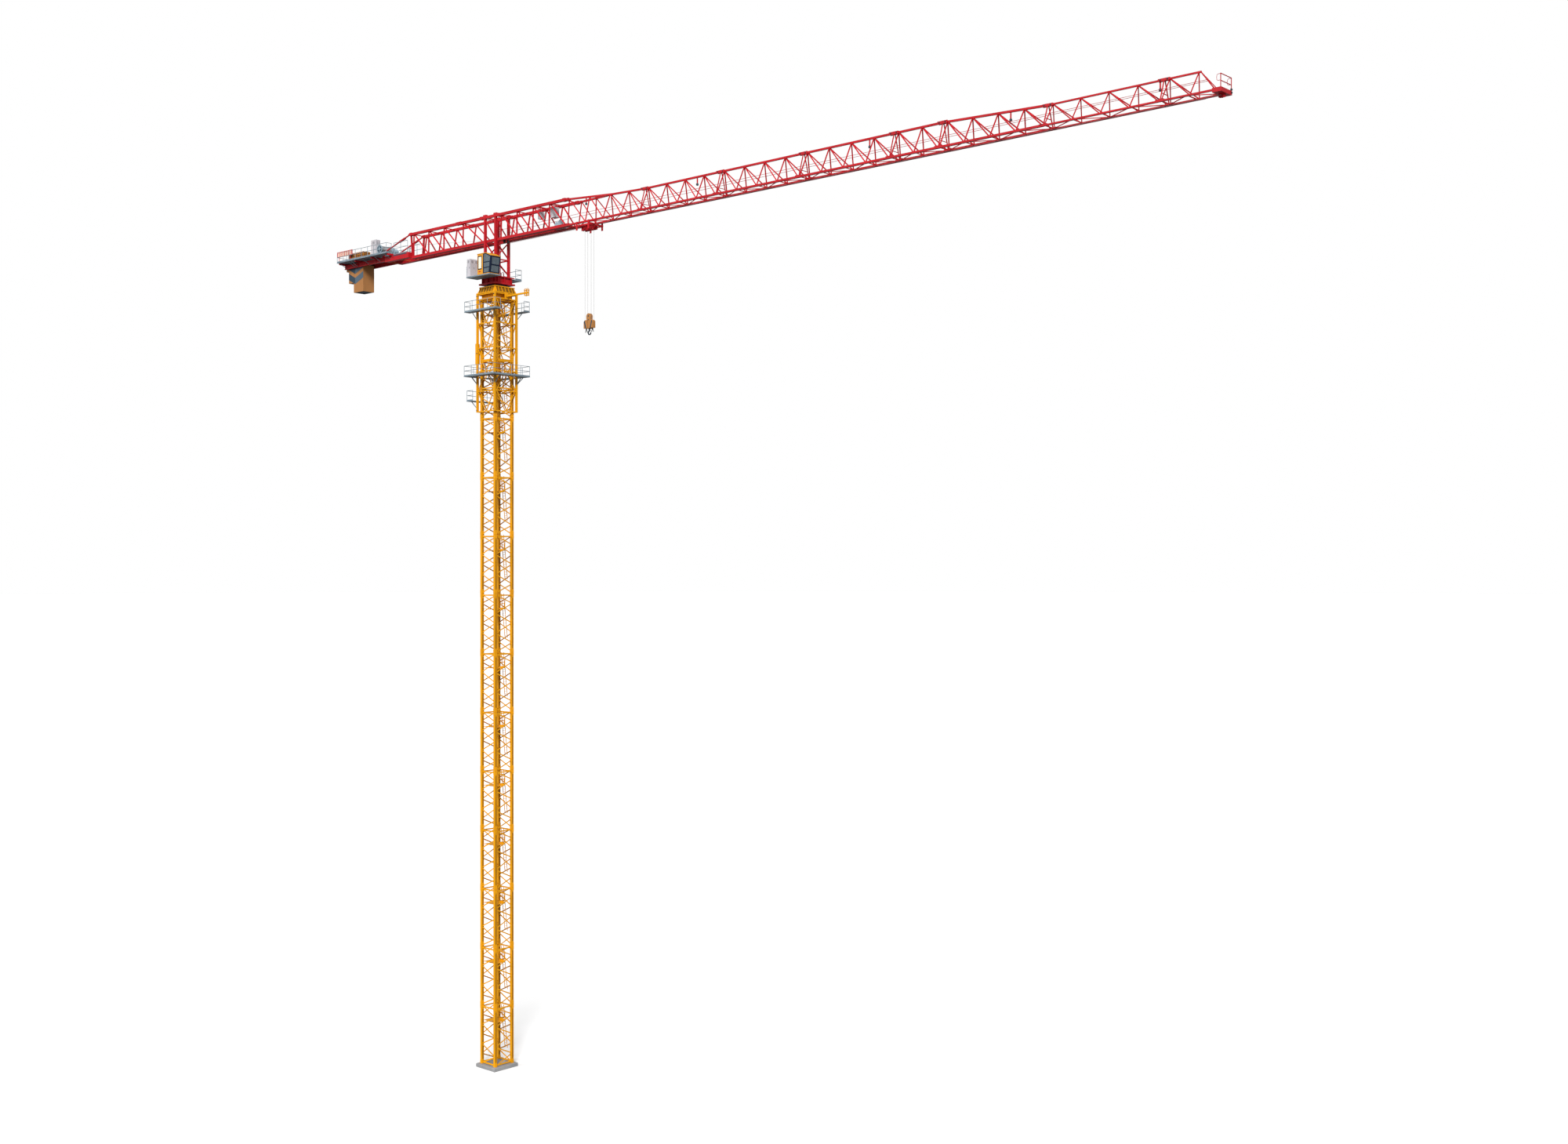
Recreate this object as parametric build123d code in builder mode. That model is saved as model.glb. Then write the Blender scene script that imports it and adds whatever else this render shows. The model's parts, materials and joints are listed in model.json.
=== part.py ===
"""Flat-top tower crane, a 1:10 model in millimetres: 1 mm here is 10 mm on the real machine.

The origin is on the mast axis, on the underside of the foundation slab. +X runs along the jib
to its tip, +Z is up and the cab stands on the -Y side.
"""
import os
from math import atan2, cos, degrees, radians, sin, sqrt

from build123d import *

os.makedirs("parts", exist_ok=True)

# Foundation and mast
slab_width = 305.0
slab_thickness = 36.0
slab_chamfer = 3.0
mast_sections = 13
section_height = 608.0
leg_spacing = 216.0
leg_size = 27.0
mast_brace = 12.0
mast_brace_seat = 6.0
mast_brace_gap = 4.2
mast_brace_end = 9.0
mast_vees = 3

# Climbing cage, around the top of the mast
cage_width = 303.0
cage_post = 20.0
cage_bar = 11.0
cage_brace = 11.0
cage_levels_below_top = (0.0, 53.0, 301.0, 553.0, 797.0, 1000.0, 1211.0)
cage_open_panels = (2, 3)
cage_raised_panel = 4
cage_top_above_mast = 58.0
cylinder_width = 46.0
cylinder_depth = 14.0
cylinder_length = 214.0
cylinder_drop = 508.0
cylinder_chamfer = 4.5

# Working platforms on the cage
deck_thickness = 6.0
deck_strut = 9.0
deck_strut_thickness = 5.0
deck_strut_drop = 78.0
upper_deck_reach = 76.0
upper_deck_length = 510.0
upper_deck_drop = 180.0
middle_deck_reach = 91.0
middle_deck_drop = 848.0
lower_deck_reach = 100.0
lower_deck_length = 400.0
lower_deck_drop = 1100.0

# Section-feeding beam on the front of the cage
feed_beam_reach = 350.0
feed_beam_size = 16.0
feed_plate_width = 44.0
feed_plate_thickness = 6.0
feed_trolley_length = 42.0
feed_trolley_height = 62.0
feed_trolley_bar = 8.0
feed_hoop_width = 15.0

# Slewing support, ring and platform
support_height = 130.0
support_core = 220.0
support_plate = 10.0
support_top_width = 260.0
support_wall_inset = 8.0
support_rib = 5.0
support_ribs = 3
ring_radius = 105.0
ring_inner_radius = 79.0
ring_height = 20.0
ring_sides = 20
slew_gap = 0.4
platform_width = 257.0
platform_foot_width = 265.0
platform_height = 80.0
platform_core = 222.0
platform_plate = 9.0
platform_foot_plate = 15.0
platform_rib = 5.0
platform_ribs = 3
rib_seat = 1.0

# Slewing tower
post_size = 24.0
post_half_x = 85.0
post_half_y = 84.0
head_half_length = 115.0
tower_bar = 12.0
tower_brace = 10.0
tower_panel_height = 180.0
tower_head = 14.0
pin_lug_height = 14.0

# Jib and counter-jib trusses
rail_height_above_platform = 374.0
chord_outer = 78.0
rail_to_chord_under = 10.0
root_chord = 28.0
jib_chord = 18.0
tip_chord = 14.0
root_top_chord = 26.0
jib_top_chord = 17.0
tip_top_chord = 13.0
rail_ledge = 5.0
rail_ledge_thickness = 3.0
rail_ledge_seat = 1.0
root_depth = 250.0
root_top_half_width = 85.0
jib_depth = 214.0
tip_depth = 168.0
root_web = 16.0
jib_web = 12.0
tip_web = 10.0
cross_bar = 8.0
bay = 248.0
root_node_from_joint = 31.0
node_from_joint = 8.0
top_node_lead = 35.0
root_section_length = 1075.0
merge_section_length = 1045.0
merge_at = 600.0
long_section_length = 1000.0
short_section_length = 500.0
long_sections_before_short = 3
end_section_length = 287.0
end_bay = 232.0
tip_length = 133.0
tip_box_length = 72.0
tip_box_half_width = 82.0
tip_box_over = 9.0
tip_box_under = 22.0
tip_stay_half_width = 35.0
tip_lug_length = 9.0
tip_stay = 7.0
tip_rail_height = 105.0
tip_knee_height = 52.0
tip_rail_bar = 5.0
tip_cheek_length = 46.0
tip_cheek_drop = 24.0
tip_cheek_thickness = 4.0
tip_sheave_radius = 16.0
tip_sheave_width = 12.0
splice_lug_length = 44.0
splice_lug_growth = 6.0
counter_first_length = 405.0
counter_second_length = 870.0
counter_end_post = 16.0

# Counter-jib deck, tie bars, ballast and machinery
girder_length = 1240.0
girder_box_depth = 60.0
girder_box_lift = 11.0
girder_depth = 46.0
girder_flange_width = 22.0
girder_flange = 6.0
girder_web = 7.0
girder_half_width = 88.0
girder_box_length = 434.0
girder_box_width = 50.0
cross_beam = 16.0
cross_beams = 4
cross_beam_reach = 171.0
ballast_half_width = 72.0
ballast_top_drop = 20.0
ballast_ear_gap = 0.3
ballast_lengths = (185.0, 95.0, 45.0)
ballast_depths = (300.0, 187.0, 52.0)
ballast_from_deck_end = 330.0
ballast_gap = 1.0
hanger_bar = 15.0
counter_deck_length = 940.0
counter_deck_half_width = 190.0
counter_deck_thickness = 8.0
deck_notch_half_width = 13.0
deck_notch_margin = 24.0
tie_size = 11.0
tie_buckle_width = 22.0
tie_buckle_depth = 15.0
tie_buckle_length = 110.0
tie_buckle_place = 0.19
tie_foot_from_deck_front = 195.0
tie_foot_height = 50.0
tie_lug_half_length = 14.0
tie_lug_half_width = 9.0
winch_drum_radius = 34.0
winch_drum_length = 146.0
winch_drum_sides = 16
winch_flange_radius = 48.0
winch_flange = 6.0
winch_from_deck_front = 294.0
winch_base_height = 22.0
winch_drum_lift = 86.0
winch_cradle = 24.0
winch_base_length = 116.0
winch_base_width = 134.0
cabinet_length = 97.0
cabinet_width = 56.0
cabinet_height = 220.0
cabinet_from_deck_front = 525.0
cabinet_chamfer = 3.0
resistor_length = 285.0
resistor_width = 90.0
resistor_height = 76.0
resistor_from_deck_front = 770.0
resistor_side_offset = 110.0
sign_length = 298.0
sign_height = 60.0
sign_lift = 55.0
sign_post_inset = 40.0
sign_thickness = 5.0

# Cab, electrical cabinet and side platform
cab_reach = 143.0
cab_length = 222.0
cab_width = 124.0
cab_height = 214.0
cab_wall = 5.0
cab_rear = 26.0
cab_front_lean = 28.0
cab_ridge_from_rear = 138.0
cab_roof_fall = 34.0
cab_window_from_rear = 94.0
cab_sill = 6.0
cab_post = 1.5
cab_head = 2.0
cab_frame = 8.0
cab_mullion = 6.0
cab_side_mullions = (0.34, 0.67)
cab_front_mullion = 0.5
cab_pane_inset = 1.0
cab_roof_edge = 3.0
cab_roof_thickness = 5.0
cab_deck_rear = -160.0
cab_deck_drop = 6.0
cab_deck_thickness = 12.0
control_cabinet_rear = -148.0
control_cabinet_length = 53.0
control_cabinet_width = 105.0
control_cabinet_height = 182.0
side_deck_rear = -60.0
side_deck_front = 130.0
side_deck_reach = 92.0
side_deck_drop = 12.0

# Trolley, rope and hook block
trolley_radius = 1440.0
trolley_length = 200.0
trolley_plate = 3.5
trolley_drop = 68.0
trolley_rail_gap = 17.0
trolley_beam = 14.0
wheel_radius = 7.0
wheel_width = 4.0
wheel_sides = 8
wheel_base = 170.0
arm_half_width = 12.0
wheel_gap = 0.3
trolley_side_gap = 5.0
sheave_radius = 20.0
sheave_width = 8.0
sheave_sides = 10
sheave_axle = 4.0
axle_sides = 6
rope_size = 2.0
rope_gap = 0.3
fall_half_x = 45.0
fall_half_y = 18.0
hook_drop = 810.0
block_height = 150.0
block_width = 62.0
block_thickness = 30.0
housing_inner = 22.0
housing_outer = 64.0
housing_height = 85.0
housing_thickness = 40.0
housing_chamfer = 16.0
fork_bar = 5.0
fork_drop = 34.0
fork_spread = 14.0
hook_height = 62.0
hook_wire = 9.0
hook_bowl_radius = 14.0
hook_sides = 14
hook_throat_lift = 10.0
swivel_gap = 0.4
swivel_radius = 9.0
swivel_sides = 10

# Heights that follow from the stack
mast_base = slab_thickness
mast_top = mast_base + mast_sections * section_height
support_top = mast_top + support_height
ring_top = support_top + ring_height
platform_base = ring_top + slew_gap
platform_top = platform_base + platform_height
rail_z = platform_top + rail_height_above_platform
root_top_z = rail_z + root_depth
cage_top = mast_top + cage_top_above_mast
chord_under = rail_z - rail_to_chord_under
chord_over = chord_under + root_chord


def bar(start, end, width, depth):
    """Add one straight bar of rectangular section between two points."""
    run = Vector(*end) - Vector(*start)
    across = run.cross(Vector(0, 0, 1))
    if across.length < 0.001 * run.length:
        across = Vector(1, 0, 0)
    with BuildSketch(Plane(origin=start, x_dir=across, z_dir=run)) as section:
        Rectangle(width, depth)
    extrude(section.sketch, amount=run.length, clean=False)


def strut(start, end, size, pointing):
    """Add one three-sided bar between two points, with one edge along the pointing side."""
    run = Vector(*end) - Vector(*start)
    with BuildSketch(Plane(origin=start, x_dir=pointing, z_dir=run)) as section:
        RegularPolygon(size / sqrt(3), 3)
    extrude(section.sketch, amount=run.length, clean=False)


def block(low, high):
    """Add one box between its lowest and highest corners."""
    size = [b - a for a, b in zip(low, high)]
    with Locations(low):
        Box(*size, align=(Align.MIN, Align.MIN, Align.MIN))


def side_point(turn, along, out, height):
    """A point on one of four sides: along the side, out from the axis, and up."""
    angle = radians(turn)
    return (
        out * cos(angle) - along * sin(angle),
        out * sin(angle) + along * cos(angle),
        height,
    )


def side_plane(turn, along):
    """An upright plane that looks along a side, with its x outwards and its y up."""
    angle = radians(turn)
    outward = (cos(angle), sin(angle), 0)
    return Plane(
        origin=(-along * sin(angle), along * cos(angle), 0),
        x_dir=outward,
        z_dir=(sin(angle), -cos(angle), 0),
    )


def save(shape, name):
    """Label a finished piece and write it to its own file."""
    shape.label = name
    export_step(shape, f"parts/{name}.step")


# Foundation slab
with BuildPart() as foundation_slab:
    Box(slab_width, slab_width, slab_thickness, align=(Align.CENTER, Align.CENTER, Align.MIN))
    chamfer(foundation_slab.edges().filter_by(GeomType.LINE).group_by(Axis.Z)[-1], slab_chamfer)
save(foundation_slab.part, "foundation_slab")

# One mast section: four legs, and a zigzag on each side
half_leg = leg_spacing / 2
leg_points = [(x, y) for x in (-half_leg, half_leg) for y in (-half_leg, half_leg)]
with BuildPart() as mast_section:
    with BuildSketch():
        with Locations(*leg_points):
            Rectangle(leg_size, leg_size)
    extrude(amount=section_height)
    vee_height = section_height / (2 * mast_vees)
    bar_half = half_leg - leg_size / 2 + mast_brace_seat
    for turn in (0, 90, 180, 270):
        for step in range(2 * mast_vees):
            rise = 1 if step % 2 == 0 else -1
            low_z = max(step * vee_height + mast_brace_gap, mast_brace_end)
            high_z = min((step + 1) * vee_height - mast_brace_gap, section_height - mast_brace_end)
            strut(
                side_point(turn, -rise * bar_half, half_leg, low_z),
                side_point(turn, rise * bar_half, half_leg, high_z),
                mast_brace,
                side_point(turn, 0, -1, 0),
            )
for index in range(mast_sections):
    section = mast_section.part.moved(Location((0, 0, mast_base + index * section_height)))
    save(section, f"mast_section_{index + 1:02d}")

# Climbing cage: two sides carry the posts, two sides fit between them
cage_half = cage_width / 2
post_half = cage_half - cage_post / 2
cage_z = [cage_top - drop for drop in cage_levels_below_top]
cage_bottom = cage_z[-1] - cage_bar


def cage_side(turn, reach, is_open):
    """Add the bars of one side of the cage, which end at reach from the middle."""
    for level_z in cage_z:
        bar(
            side_point(turn, -reach, post_half, level_z - cage_bar / 2),
            side_point(turn, reach, post_half, level_z - cage_bar / 2),
            cage_bar,
            cage_bar,
        )
    for panel in range(1, len(cage_z) - 1):
        if is_open and panel in cage_open_panels:
            continue
        top_z = cage_z[panel] - cage_bar / 2
        foot_z = cage_z[panel + 1] - cage_bar / 2
        if panel == cage_raised_panel:
            top_z, foot_z = foot_z, top_z
        for hand in (-1, 1):
            strut(
                side_point(turn, hand * (reach - cage_bar), post_half, top_z),
                side_point(turn, hand * cage_bar / 2, post_half, foot_z),
                cage_brace,
                side_point(turn, 0, -1, 0),
            )


def cage_post_side(turn):
    """Add one side of the cage with its two corner posts."""
    for hand in (-1, 1):
        bar(
            side_point(turn, hand * post_half, post_half, cage_bottom),
            side_point(turn, hand * post_half, post_half, cage_top),
            cage_post,
            cage_post,
        )
    cage_side(turn, post_half, False)


with BuildPart() as cage_near_side:
    cage_post_side(270)
with BuildPart() as cage_far_side:
    cage_post_side(90)
with BuildPart() as cage_front_side:
    cage_side(0, post_half - cage_post / 2, True)
with BuildPart() as cage_rear_side:
    cage_side(180, post_half - cage_post / 2, False)
save(cage_near_side.part, "cage_near_side")
save(cage_far_side.part, "cage_far_side")
save(cage_front_side.part, "cage_front_side")
save(cage_rear_side.part, "cage_rear_side")

# Jacking cylinder housing on the rear of the cage
cylinder_top = cage_top - cylinder_drop
with BuildPart() as climbing_cylinder:
    block(
        (-cage_half - cylinder_depth, -cage_half, cylinder_top - cylinder_length),
        (-cage_half, -cage_half + cylinder_width, cylinder_top),
    )
    chamfer(climbing_cylinder.edges().filter_by(Axis.Y), cylinder_chamfer)
save(climbing_cylinder.part, "climbing_cylinder")


def deck_struts(turns, deck_under, reach):
    """Add the sloping struts that carry a deck from the cage posts."""
    for turn in turns:
        for hand in (-1, 1):
            foot = side_plane(turn, hand * post_half - deck_strut_thickness / 2)
            with BuildSketch(foot) as strut:
                Polygon(
                    (cage_half, deck_under - deck_strut_drop),
                    (cage_half + reach - deck_strut, deck_under),
                    (cage_half + reach - 2 * deck_strut, deck_under),
                    (cage_half, deck_under - deck_strut_drop + deck_strut),
                    align=None,
                )
            extrude(strut.sketch, amount=-deck_strut_thickness, clean=False)


def side_deck(turn, top_z, reach, length):
    """Add one straight deck on a side of the cage."""
    with BuildSketch(Plane.XY.offset(top_z - deck_thickness).rotated((0, 0, turn))) as plate:
        with Locations((cage_half + reach / 2, 0)):
            Rectangle(reach, length)
    extrude(plate.sketch, amount=deck_thickness)


# Working platforms
with BuildPart() as upper_platform:
    for turn in (90, 270):
        side_deck(turn, cage_top - upper_deck_drop, upper_deck_reach, upper_deck_length)
    deck_struts((90, 270), cage_top - upper_deck_drop - deck_thickness, upper_deck_reach)
save(upper_platform.part, "upper_platform")

middle_deck_width = cage_width + 2 * middle_deck_reach
with BuildPart() as middle_platform:
    middle_deck_under = cage_top - middle_deck_drop - deck_thickness
    with BuildSketch(Plane.XY.offset(middle_deck_under)):
        Rectangle(middle_deck_width, middle_deck_width)
        Rectangle(cage_width, cage_width, mode=Mode.SUBTRACT)
    extrude(amount=deck_thickness)
    deck_struts((0, 90, 180, 270), middle_deck_under, middle_deck_reach)
save(middle_platform.part, "middle_platform")

with BuildPart() as lower_platform:
    side_deck(180, cage_top - lower_deck_drop, lower_deck_reach, lower_deck_length)
    deck_struts((180,), cage_top - lower_deck_drop - deck_thickness, lower_deck_reach)
save(lower_platform.part, "lower_platform")

# Section-feeding beam with its small trolley
feed_top = cage_top
feed_foot = cage_z[1] - cage_bar
feed_mid = (feed_top + feed_foot) / 2
feed_end = cage_half + feed_beam_reach
with BuildPart() as feeding_beam:
    block(
        (cage_half, -feed_plate_width / 2, feed_foot),
        (cage_half + feed_plate_thickness, feed_plate_width / 2, feed_top),
    )
    bar(
        (cage_half + feed_plate_thickness / 2, 0, feed_mid),
        (feed_end, 0, feed_mid),
        feed_beam_size,
        feed_beam_size,
    )
    with BuildSketch(Plane.YZ.offset(feed_end - feed_trolley_length)) as trolley_hoop:
        with Locations((0, feed_mid)):
            Rectangle(feed_beam_size + 2 * feed_trolley_bar, feed_trolley_height)
            Rectangle(feed_hoop_width, feed_trolley_height - 2 * feed_trolley_bar, mode=Mode.SUBTRACT)
    extrude(trolley_hoop.sketch, amount=feed_trolley_bar)
    extrude(
        trolley_hoop.sketch.moved(Location((feed_trolley_length - feed_trolley_bar, 0, 0))),
        amount=feed_trolley_bar,
    )
save(feeding_beam.part, "feeding_beam")

# Slewing support: a ribbed box that narrows from the cage's top flange to the slew ring
support_flange_top = cage_top + support_plate
support_wall_top = support_top - support_plate
support_foot_half = cage_half - support_wall_inset
support_head_half = support_top_width / 2 - support_wall_inset
with BuildPart() as slewing_support:
    block(
        (-half_leg - leg_size / 2, -half_leg - leg_size / 2, mast_top),
        (half_leg + leg_size / 2, half_leg + leg_size / 2, mast_top + support_plate),
    )
    block(
        (-support_core / 2, -support_core / 2, mast_top),
        (support_core / 2, support_core / 2, support_flange_top),
    )
    block((-cage_half, -cage_half, cage_top), (cage_half, cage_half, support_flange_top))
    wall_lean = atan2(support_foot_half - support_head_half, support_wall_top - support_flange_top)
    with BuildSketch(Plane.XY.offset(support_flange_top)) as wall_foot:
        Rectangle(2 * support_foot_half, 2 * support_foot_half)
    extrude(wall_foot.sketch, amount=support_wall_top - support_flange_top, taper=degrees(wall_lean))
    block(
        (-support_top_width / 2, -support_top_width / 2, support_wall_top),
        (support_top_width / 2, support_top_width / 2, support_top),
    )
    for turn in (0, 90, 180, 270):
        for index in range(support_ribs):
            along = support_top_width * ((index + 0.5) / support_ribs - 0.5)
            with BuildSketch(side_plane(turn, along - support_rib / 2)) as rib:
                Polygon(
                    (support_head_half - support_wall_inset, support_flange_top - rib_seat),
                    (cage_half - support_rib / 2, support_flange_top - rib_seat),
                    (support_top_width / 2 - support_rib / 2, support_wall_top + rib_seat),
                    (support_head_half - support_wall_inset, support_wall_top + rib_seat),
                    align=None,
                )
            extrude(rib.sketch, amount=-support_rib, clean=False)
save(slewing_support.part, "slewing_support")

with BuildPart() as slew_ring:
    with BuildSketch(Plane.XY.offset(support_top)):
        RegularPolygon(ring_radius, ring_sides)
        RegularPolygon(ring_inner_radius, ring_sides, mode=Mode.SUBTRACT)
    extrude(amount=ring_height)
save(slew_ring.part, "slew_ring")

# Slewing platform: two plates, a core and upright ribs
with BuildPart() as slewing_platform:
    block(
        (-platform_foot_width / 2, -platform_foot_width / 2, platform_base),
        (platform_foot_width / 2, platform_foot_width / 2, platform_base + platform_foot_plate),
    )
    block(
        (-platform_core / 2, -platform_core / 2, platform_base),
        (platform_core / 2, platform_core / 2, platform_top),
    )
    block(
        (-platform_width / 2, -platform_width / 2, platform_top - platform_plate),
        (platform_width / 2, platform_width / 2, platform_top),
    )
    for turn in (0, 90, 180, 270):
        for index in range(platform_ribs):
            along = platform_width * ((index + 0.5) / platform_ribs - 0.5)
            with BuildSketch(side_plane(turn, along - platform_rib / 2)) as rib:
                Polygon(
                    (platform_core / 2 - rib_seat, platform_base + platform_foot_plate / 2),
                    (platform_width / 2, platform_base + platform_foot_plate / 2),
                    (platform_width / 2, platform_top - platform_plate / 2),
                    (platform_core / 2 - rib_seat, platform_top - platform_plate / 2),
                    align=None,
                )
            extrude(rib.sketch, amount=-platform_rib, clean=False)
save(slewing_platform.part, "slewing_platform")



def chord_middle(size):
    """How far out and how high a bottom chord's middle is; all sizes are flush below and outside."""
    return chord_outer - size / 2, chord_under + size / 2


# Slewing tower: four posts through the jib, with the chord stubs that both trusses pin to
tower_top = root_top_z + tower_head
tower_middle = platform_top + tower_panel_height
with BuildPart() as slewing_tower:
    for x in (-post_half_x, post_half_x):
        for y in (-post_half_y, post_half_y):
            bar((x, y, platform_top), (x, y, tower_top), post_size, post_size)
            block(
                (x - post_size, y - post_size / 2, tower_top),
                (x + post_size, y + post_size / 2, tower_top + pin_lug_height),
            )
        for z in (tower_middle, rail_z, root_top_z):
            bar((x, -post_half_y, z), (x, post_half_y, z), tower_bar, tower_bar)
        for hand in (-1, 1):
            bar(
                (x, -hand * post_half_y, tower_middle + tower_bar),
                (x, hand * post_half_y, chord_under),
                tower_brace,
                tower_brace,
            )
        bar(
            (x, post_half_y, platform_top + post_size),
            (x, -post_half_y, tower_middle - tower_bar),
            tower_brace,
            tower_brace,
        )
    stub_y, stub_z = chord_middle(root_chord)
    for hand in (-1, 1):
        bar(
            (-head_half_length, hand * stub_y, stub_z),
            (head_half_length, hand * stub_y, stub_z),
            root_chord,
            root_chord,
        )
        bar(
            (-head_half_length, hand * root_top_half_width, root_top_z),
            (head_half_length, hand * root_top_half_width, root_top_z),
            root_top_chord,
            root_top_chord,
        )
        side_y = hand * post_half_y
        bar((-post_half_x, side_y, tower_middle), (post_half_x, side_y, tower_middle), tower_bar, tower_bar)
        for low_z, high_z in (
            (platform_top + post_size, tower_middle - tower_bar),
            (tower_middle + tower_bar, chord_under),
            (chord_over, root_top_z - root_top_chord),
        ):
            bar((-post_half_x, side_y, high_z), (post_half_x, side_y, low_z), tower_brace, tower_brace)
save(slewing_tower.part, "slewing_tower")


def chord_nodes(length, margin):
    """Bottom nodes of one truss section, evenly spaced between its two joints."""
    bays = max(1, round((length - 2 * margin) / bay))
    step = (length - 2 * margin) / bays
    return [margin + index * step for index in range(bays + 1)]


def bottom_chords(start, end, size, has_rail):
    """Add the two bottom chords, with the ledges that the trolley's wheels run on."""
    chord_y, chord_z = chord_middle(size)
    for hand in (-1, 1):
        bar((start, hand * chord_y, chord_z), (end, hand * chord_y, chord_z), size, size)
        if has_rail:
            ledge_in = hand * (chord_outer - rail_ledge_seat)
            ledge_out = hand * (chord_outer + rail_ledge)
            block(
                (start, min(ledge_in, ledge_out), chord_under),
                (end, max(ledge_in, ledge_out), chord_under + rail_ledge_thickness),
            )


def web(start, bottom, size, foot_point, top_half, top_z):
    """Add the web of one truss section between its bottom nodes and its top chords.

    foot_point is the bottom chord's middle. top_half and top_z give the half spacing and height
    of the top chords at a distance along the section. A half spacing of 0 is a single top chord.
    """
    foot_y, foot_z = foot_point
    for behind, ahead in zip(bottom, bottom[1:]):
        top = behind + top_node_lead
        for hand in (-1, 1):
            top_point = (start + top, hand * top_half(top), top_z(top))
            for foot in (behind, ahead):
                web_strut(top_point, (start + foot, hand * foot_y, foot_z), size)


def web_strut(top, foot, size):
    """Add one bar of a web, with a flat side towards the outside."""
    run = Vector(*foot) - Vector(*top)
    strut(top, foot, size, Vector(run.Z, 0, -run.X).cross(run))


def top_chord(start, distances, hand, top_half, top_z, size):
    """Add one top chord through the given distances along a section."""
    points = [(start + u, hand * top_half(u), top_z(u)) for u in distances]
    for first, last in zip(points, points[1:]):
        bar(first, last, size, size)


def splice_lugs(start, length, top_half, top_z, size):
    """Add the thickened pin lugs at both ends of the top chords."""
    lug = size + splice_lug_growth
    for end, low_x in ((0, start), (length, start + length - splice_lug_length)):
        hands = (-1, 1) if top_half(end) > size else (0,)
        for hand in hands:
            middle_y = hand * top_half(end)
            block(
                (low_x, middle_y - lug / 2, top_z(end) - lug / 2),
                (low_x + splice_lug_length, middle_y + lug / 2, top_z(end) + lug / 2),
            )


def wide_section(start, length, margin, has_rail):
    """Add a truss section with two level top chords."""
    bottom = chord_nodes(length, margin)
    foot_point = chord_middle(root_chord)
    bottom_chords(start, start + length, root_chord, has_rail)
    web(start, bottom, root_web, foot_point, wide_top, root_top)
    for hand in (-1, 1):
        top_chord(start, (0, length), hand, wide_top, root_top, root_top_chord)
    splice_lugs(start, length, wide_top, root_top, root_top_chord)
    for node in bottom:
        for half, z in (foot_point, (root_top_half_width, root_top_z)):
            bar((start + node, -half, z), (start + node, half, z), cross_bar, cross_bar)


def narrow_section(start, length, top_z, ends, chord, top_size, web_size):
    """Add a jib section with one top chord, which runs between the two ends."""
    bottom_chords(start, start + length, chord, True)
    nodes = chord_nodes(length, node_from_joint)
    web(start, nodes, web_size, chord_middle(chord), single_top, top_z)
    top_chord(start, ends, 0, single_top, top_z, top_size)
    splice_lugs(start, length, single_top, top_z, top_size)


def wide_top(u):
    return root_top_half_width


def root_top(u):
    return root_top_z


def single_top(u):
    return 0.0


def level_top(u):
    return rail_z + jib_depth


def low_top(u):
    return rail_z + tip_depth


def falling_top(u):
    return rail_z + jib_depth + (tip_depth - jib_depth) * u / long_section_length


def merging_half(u):
    return root_top_half_width * max(0.0, 1 - u / merge_at)


def merging_top(u):
    return root_top_z + (rail_z + jib_depth - root_top_z) * u / merge_section_length


# Jib sections, from the tower to the tip
lug_middle = splice_lug_length / 2
jib_bars = (jib_chord, jib_top_chord, jib_web)
tip_bars = (tip_chord, tip_top_chord, tip_web)
joint = head_half_length
with BuildPart() as jib_root:
    wide_section(joint, root_section_length, root_node_from_joint, True)
save(jib_root.part, "jib_root_section")

joint += root_section_length
with BuildPart() as jib_merge:
    merge_nodes = chord_nodes(merge_section_length, node_from_joint)
    bottom_chords(joint, joint + merge_section_length, jib_chord, True)
    web(joint, merge_nodes, jib_web, chord_middle(jib_chord), merging_half, merging_top)
    for hand in (-1, 1):
        top_chord(joint, (lug_middle, merge_at), hand, merging_half, merging_top, jib_top_chord)
    merge_end = merge_section_length - lug_middle
    top_chord(joint, (merge_at, merge_end), 0, merging_half, merging_top, jib_top_chord)
    splice_lugs(joint, merge_section_length, merging_half, merging_top, jib_top_chord)
save(jib_merge.part, "jib_merging_section")

joint += merge_section_length
long_ends = (0, long_section_length)
with BuildPart() as jib_long:
    narrow_section(joint, long_section_length, level_top, long_ends, *jib_bars)
for index in range(long_sections_before_short):
    section = jib_long.part.moved(Location((index * long_section_length, 0, 0)))
    save(section, f"jib_section_{index + 1}")

joint += long_sections_before_short * long_section_length
with BuildPart() as jib_short:
    short_ends = (0, short_section_length)
    narrow_section(joint, short_section_length, level_top, short_ends, *jib_bars)
save(jib_short.part, "jib_short_section")

joint += short_section_length
with BuildPart() as jib_falling:
    falling_ends = (lug_middle, long_section_length - lug_middle)
    narrow_section(joint, long_section_length, falling_top, falling_ends, *jib_bars)
save(jib_falling.part, "jib_falling_section")

joint += long_section_length
with BuildPart() as jib_low:
    narrow_section(joint, long_section_length, low_top, long_ends, *tip_bars)
save(jib_low.part, "jib_low_section")

joint += long_section_length
end_x = joint + end_section_length
tip_x = end_x + tip_length
tip_top_z = rail_z + tip_depth
with BuildPart() as jib_end:
    end_nodes = (node_from_joint, node_from_joint + end_bay)
    last_top = (joint + end_nodes[1] + top_node_lead, 0, tip_top_z)
    foot_y, foot_z = chord_middle(tip_chord)
    bottom_chords(joint, end_x, tip_chord, True)
    web(joint, end_nodes, tip_web, (foot_y, foot_z), single_top, low_top)
    top_chord(joint, (0, end_section_length), 0, single_top, low_top, tip_top_chord)
    for hand in (-1, 1):
        chord_y = hand * foot_y
        web_strut(last_top, (joint + end_nodes[1], chord_y, foot_z), tip_web)
        bar((end_x, chord_y, foot_z), (tip_x, chord_y, foot_z), tip_chord, tip_chord)
save(jib_end.part, "jib_end_section")

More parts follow.
